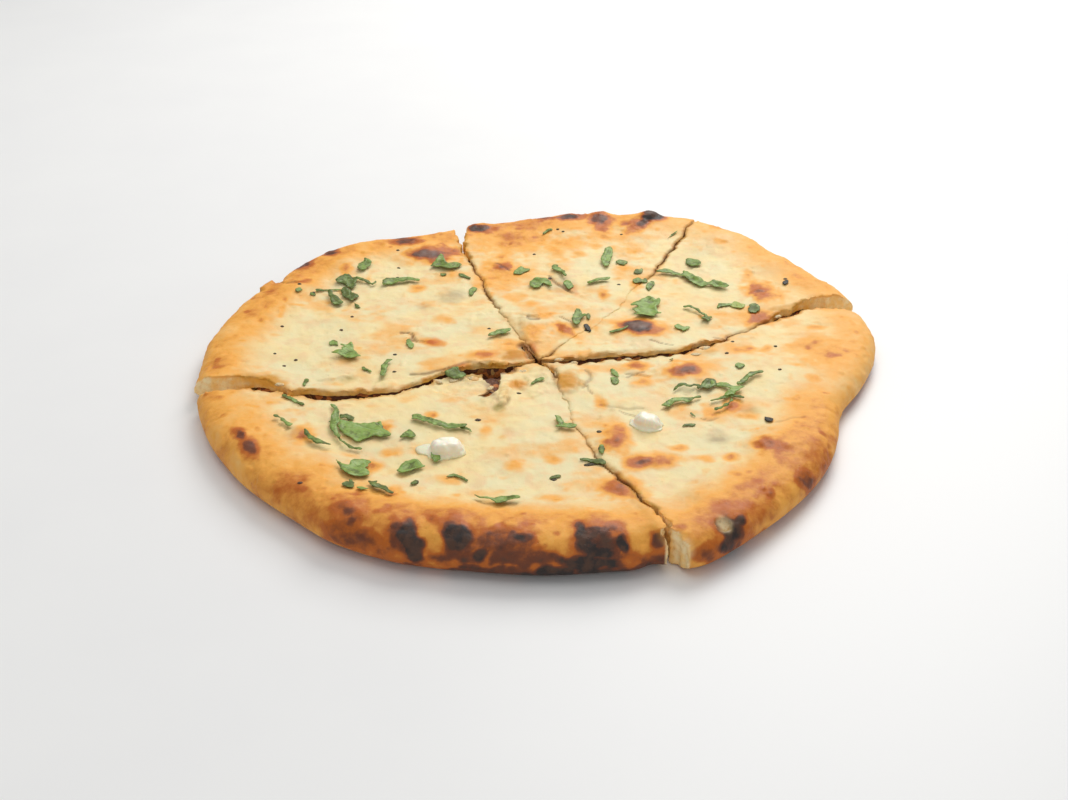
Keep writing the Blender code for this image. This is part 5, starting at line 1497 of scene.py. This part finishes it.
def pebble(ground, x, y, half, half_width, turn, seed, rise, sink, detail=2):
    """A small rounded bit that lies half sunk in the crust."""
    points, faces = ball(detail)
    spin = math.radians(turn)
    bumpy = 1 + 0.22 * grain(points * 3 + seed * 5.0, 1.1, 71)
    points = points * bumpy[:, None] * (half, half_width, rise)
    turned = points.copy()
    turned[:, 0] = points[:, 0] * math.cos(spin) - points[:, 1] * math.sin(spin) + x
    turned[:, 1] = points[:, 0] * math.sin(spin) + points[:, 1] * math.cos(spin) + y
    turned[:, 2] = points[:, 2] + ground.read(x, y) - sink
    return turned, faces.tolist(), {}


def butter_block(ground, x, y, width, depth, height, turn, melted, seed):
    """A soft block of butter that has begun to melt into a skirt on the crust."""
    segments, spin = BUTTER_SEGMENTS, math.radians(turn)
    angles = np.arange(segments) / segments * math.tau
    power = 3.0 - 0.8 * melted
    block = (np.abs(np.cos(angles)) ** power + np.abs(np.sin(angles)) ** power) ** (-1 / power)
    flat = np.column_stack((np.cos(angles) * 3, np.sin(angles) * 3, angles * 0 + seed * 9))
    block *= 1 + 0.10 * grain(flat, 2.4, 86) + 0.05 * grain(flat, 1.0, 87)
    skirt = 0.7 + 0.8 * melted + 0.7 * grain(flat, 1.6, 81) + 0.3 * grain(flat, 0.7, 82)
    skirt += 4.6 * np.exp(-(((angles - 2.75) / 0.42) ** 2)) * (melted < 0.5)
    skirt = np.maximum(skirt, 0.35)
    rings = len(BUTTER_PROFILE)
    reach, level, spread = (np.repeat(column, segments) for column in np.array(BUTTER_PROFILE, float).T)
    turns, block, skirt = (np.tile(values, rings) for values in (angles, block, skirt))
    across = np.cos(turns) * (width / 2 * reach * block + spread * skirt)
    along_it = np.sin(turns) * (depth / 2 * reach * block + spread * skirt)
    flat_x = x + across * math.cos(spin) - along_it * math.sin(spin)
    flat_y = y + across * math.sin(spin) + along_it * math.cos(spin)
    low = ground.above(flat_x, flat_y)
    top = float(ground.above(x, y)) + BUTTER_CLEARANCE + height * (1 - 0.16 * across / width)
    z = low + (top - low) * np.maximum(level, 0) + 0.15 * ((level > 0) & (level < 0.3))
    z = np.where(level < 0, low - 0.5, z)
    melt = np.clip(1 - np.maximum(level, 0) / 0.3, 0, 1)
    points = np.column_stack((flat_x, flat_y, z))
    firm = 1 - melt
    points[:, 2] += (0.7 * grain(points, 3.2, 83) + 0.3 * grain(points, 1.5, 84)) * firm
    points[:, 0] += 0.3 * grain(points, 2.2, 85) * firm
    points[:, 1] += 0.3 * grain(points, 2.2, 88) * firm
    points[:segments] = points[:segments].mean(0)
    faces = []
    for ring in range(rings - 1):
        for index in range(segments):
            a, b = ring * segments + index, ring * segments + (index + 1) % segments
            c, d = b + segments, a + segments
            faces += [(a, d, c), (a, c, b)]
    last = (rings - 1) * segments
    points = np.vstack((points, (x, y, points[last:, 2].mean() - 0.2)))
    faces += [(last + index, len(points) - 1, last + (index + 1) % segments) for index in range(segments)]
    return points, faces, {"melt": np.append(melt, 1)}


def tear_outline():
    """The ragged outline of the torn place near the hub."""
    rows = np.array([row[:2] for row in along([(*point, 0) for point in TEAR + TEAR[:1]], 0.7)[:-1]])
    flat = np.column_stack((rows, rows[:, 0] * 0))
    return rows + 0.45 * np.column_stack((grain(flat, 1.6, 91), grain(flat, 1.6, 92)))


def build_crust(shape, look):
    """The five slices of dough, hollowed for their filling."""
    directions, faces = ball(SKIN_DIVISIONS)
    hollow_directions, hollow_faces = ball(HOLLOW_DIVISIONS)
    material = dough_paint(look)
    for name in SLICES:
        form = Form(name)
        outline, edges = slice_outline(name, 0, shape.jag / MM)
        crust = solid("crust_" + name, form.skin(directions), faces)
        shaped_by(crust, "INTERSECT", prism("keep", outline, *SLICE_BLOCK))
        applied(crust, "REMESH", mode="VOXEL", voxel_size=shape.fineness)
        shape_crust(crust, edges, shape.relief)
        hollow = form.pocket(hollow_directions, 0)
        shaped_by(crust, "DIFFERENCE", solid("hollow", hollow, hollow_faces))
        if name == TEAR_SLICE:
            shaped_by(crust, "DIFFERENCE", prism("tear", tear_outline(), TEAR_FLOOR, TEAR_TOP))
        mark_crust(crust.data, edges, form, look.browning)
        finish_piece(crust, material, "dough", "dough_" + name)
        crust.data.set_sharp_from_angle(angle=CREASE_ANGLE)


def build_filling(shape, look):
    """The filling inside each slice, crumbly where a cut bares it."""
    directions, faces = ball(FILLING_DIVISIONS)
    material = filling_paint(look)
    for name in SLICES:
        form = Form(name)
        outline, edges = slice_outline(name, FILLING_INSET, shape.jag / MM)
        filling = solid("stuffing_" + name, form.pocket(directions, FILLING_PLAY), faces)
        shaped_by(filling, "INTERSECT", prism("keep", outline, *SLICE_BLOCK))
        applied(filling, "REMESH", mode="VOXEL", voxel_size=FILLING_FINENESS * MM)
        points, normals = points_of(filling.data), normals_of(filling.data)
        away, gap = distances(points, edges)
        wall = (1 - smooth(0.6, 2.5, away)) * smooth(0.2, 1.2, gap)
        lift = wall * (0.45 * grain(points, 2.2, 95) + 0.25 * grain(points, 1.2, 96)) - 0.15 * (1 - wall)
        move_points(filling.data, points + normals * lift[:, None])
        applied(filling, "DECIMATE", ratio=FILLING_KEPT)
        finish_piece(filling, material, "filling", "filling_" + name)


def build_coriander(shape, look):
    """The larger leaves and stalks, as one piece for all the coriander nodes."""
    ground = Ground()
    thickness = shape.leaf_thickness / MM
    leaves = [
        leaf(ground, places, thickness, tone, index, LEAF_CLEARANCE, LEAF_GRID)
        for index, (tone, *places) in enumerate(CORIANDER)
    ]
    nodes = [f"coriander_{index:02d}" for index in range(1, CORIANDER_NODES + 1)]
    finish_piece(joined("coriander_leaves", leaves), leaf_paint(look), "coriander", *nodes)


def build_flakes(look):
    """The small flakes of leaf, the dark specks and the crumbs of dough."""
    ground = Ground()
    flakes = [
        leaf(ground, places, FLAKE_THICKNESS, tone, index + 50, FLAKE_CLEARANCE, FLAKE_GRID)
        for index, (tone, *places) in enumerate(FLAKES)
    ]
    material = bpy.data.materials.get("leaf") or leaf_paint(look)
    finish_piece(joined("herb_flakes", flakes), material, "coriander")
    specks = [pebble(ground, *row, index, SPECK_RISE, SPECK_SINK) for index, row in enumerate(SPECKS)]
    finish_piece(joined("spice_specks", specks), speck_paint(), "filling")
    crumbs = [
        pebble(ground, *row, index + 200, CRUMB_RISE, CRUMB_SINK, detail=3)
        for index, row in enumerate(CRUMBS)
    ]
    finish_piece(joined("dough_crumbs", crumbs), crumb_paint(look), "dough")


def build_butter(look):
    """The two melting blocks of butter."""
    ground = Ground()
    material = butter_paint(look)
    for index, (name, *numbers) in enumerate(BUTTER):
        block = joined(name + "_melting", [butter_block(ground, *numbers, index)])
        finish_piece(block, material, "butter", name)


def build_stage():
    """The floor, the lights and the photo's camera."""
    corners = [(x * FLOOR_REACH, y * FLOOR_REACH, 0) for x, y in ((-1, -1), (1, -1), (1, 1), (-1, 1))]
    floor = solid("floor", corners, [(0, 1, 2, 3)])
    floor.location.z = -FLOOR_GAP * MM
    floor.data.materials.append(floor_paint())
    world = bpy.data.worlds.new("studio")
    world.use_nodes = True
    world.node_tree.nodes["Background"].inputs["Color"].default_value = (0.97, 0.985, 1.0, 1)
    world.node_tree.nodes["Background"].inputs["Strength"].default_value = 0.36
    bpy.context.scene.world = world
    for name, place, size, power, colour in LIGHTS:
        data = bpy.data.lights.new(name, "AREA")
        data.size, data.energy, data.color = size, power, colour
        lamp = bpy.data.objects.new(name, data)
        lamp.location = place
        lamp.rotation_euler = (-Vector(place)).to_track_quat("-Z", "Y").to_euler()
        bpy.context.scene.collection.objects.link(lamp)
    data = bpy.data.cameras.new("camera")
    data.lens, data.sensor_width, data.clip_start = CAMERA_LENS, SENSOR_WIDTH, 0.01
    camera = bpy.data.objects.new("camera", data)
    camera.location = [value * MM for value in CAMERA]
    camera.rotation_euler = (math.radians(90) - CAMERA_DIP, 0, 0)
    bpy.context.scene.collection.objects.link(camera)
    bpy.context.scene.camera = camera
    bpy.context.scene.view_settings.view_transform = "Standard"


class KULCHA_OT_crust(bpy.types.Operator):
    """Build the five slices of dough"""

    bl_idname = "kulcha.crust"
    bl_label = "Crust"

    def execute(self, context):
        build_crust(context.scene.kulcha_shape, context.scene.kulcha_look)
        return {"FINISHED"}


class KULCHA_OT_filling(bpy.types.Operator):
    """Build the filling inside each slice"""

    bl_idname = "kulcha.filling"
    bl_label = "Filling"

    def execute(self, context):
        build_filling(context.scene.kulcha_shape, context.scene.kulcha_look)
        return {"FINISHED"}


class KULCHA_OT_coriander(bpy.types.Operator):
    """Build the coriander leaves"""

    bl_idname = "kulcha.coriander"
    bl_label = "Coriander"

    def execute(self, context):
        build_coriander(context.scene.kulcha_shape, context.scene.kulcha_look)
        return {"FINISHED"}


class KULCHA_OT_flakes(bpy.types.Operator):
    """Scatter the small flakes, specks and crumbs"""

    bl_idname = "kulcha.flakes"
    bl_label = "Flakes and crumbs"

    def execute(self, context):
        build_flakes(context.scene.kulcha_look)
        return {"FINISHED"}


class KULCHA_OT_butter(bpy.types.Operator):
    """Build the two blocks of melting butter"""

    bl_idname = "kulcha.butter"
    bl_label = "Butter"

    def execute(self, context):
        build_butter(context.scene.kulcha_look)
        return {"FINISHED"}


class KULCHA_OT_stage(bpy.types.Operator):
    """Set the floor, the lights and the camera"""

    bl_idname = "kulcha.stage"
    bl_label = "Stage"

    def execute(self, context):
        build_stage()
        return {"FINISHED"}


OPERATORS = (
    KULCHA_OT_crust, KULCHA_OT_filling, KULCHA_OT_coriander,
    KULCHA_OT_flakes, KULCHA_OT_butter, KULCHA_OT_stage,
)


class KULCHA_PT_panel(bpy.types.Panel):
    """The kulcha's settings and steps"""

    bl_idname = "KULCHA_PT_panel"
    bl_label = "Kulcha"
    bl_space_type = "VIEW_3D"
    bl_region_type = "UI"
    bl_category = "Kulcha"

    def draw(self, context):
        for group in (context.scene.kulcha_shape, context.scene.kulcha_look):
            box = self.layout.box()
            for key in group.__annotations__:
                box.prop(group, key)
        for operator in OPERATORS:
            self.layout.operator(operator.bl_idname)


CLASSES = (KulchaShape, KulchaLook, *OPERATORS, KULCHA_PT_panel)


def register():
    """Adds the settings, steps and panel to Blender."""
    for kind in CLASSES:
        bpy.utils.register_class(kind)
    bpy.types.Scene.kulcha_shape = PointerProperty(type=KulchaShape)
    bpy.types.Scene.kulcha_look = PointerProperty(type=KulchaLook)


def unregister():
    """Takes them out again."""
    del bpy.types.Scene.kulcha_look
    del bpy.types.Scene.kulcha_shape
    for kind in reversed(CLASSES):
        bpy.utils.unregister_class(kind)


def main():
    """Runs every step."""
    register()
    for operator in OPERATORS:
        group, name = operator.bl_idname.split(".")
        getattr(getattr(bpy.ops, group), name)()


if __name__ == "__main__":
    main()
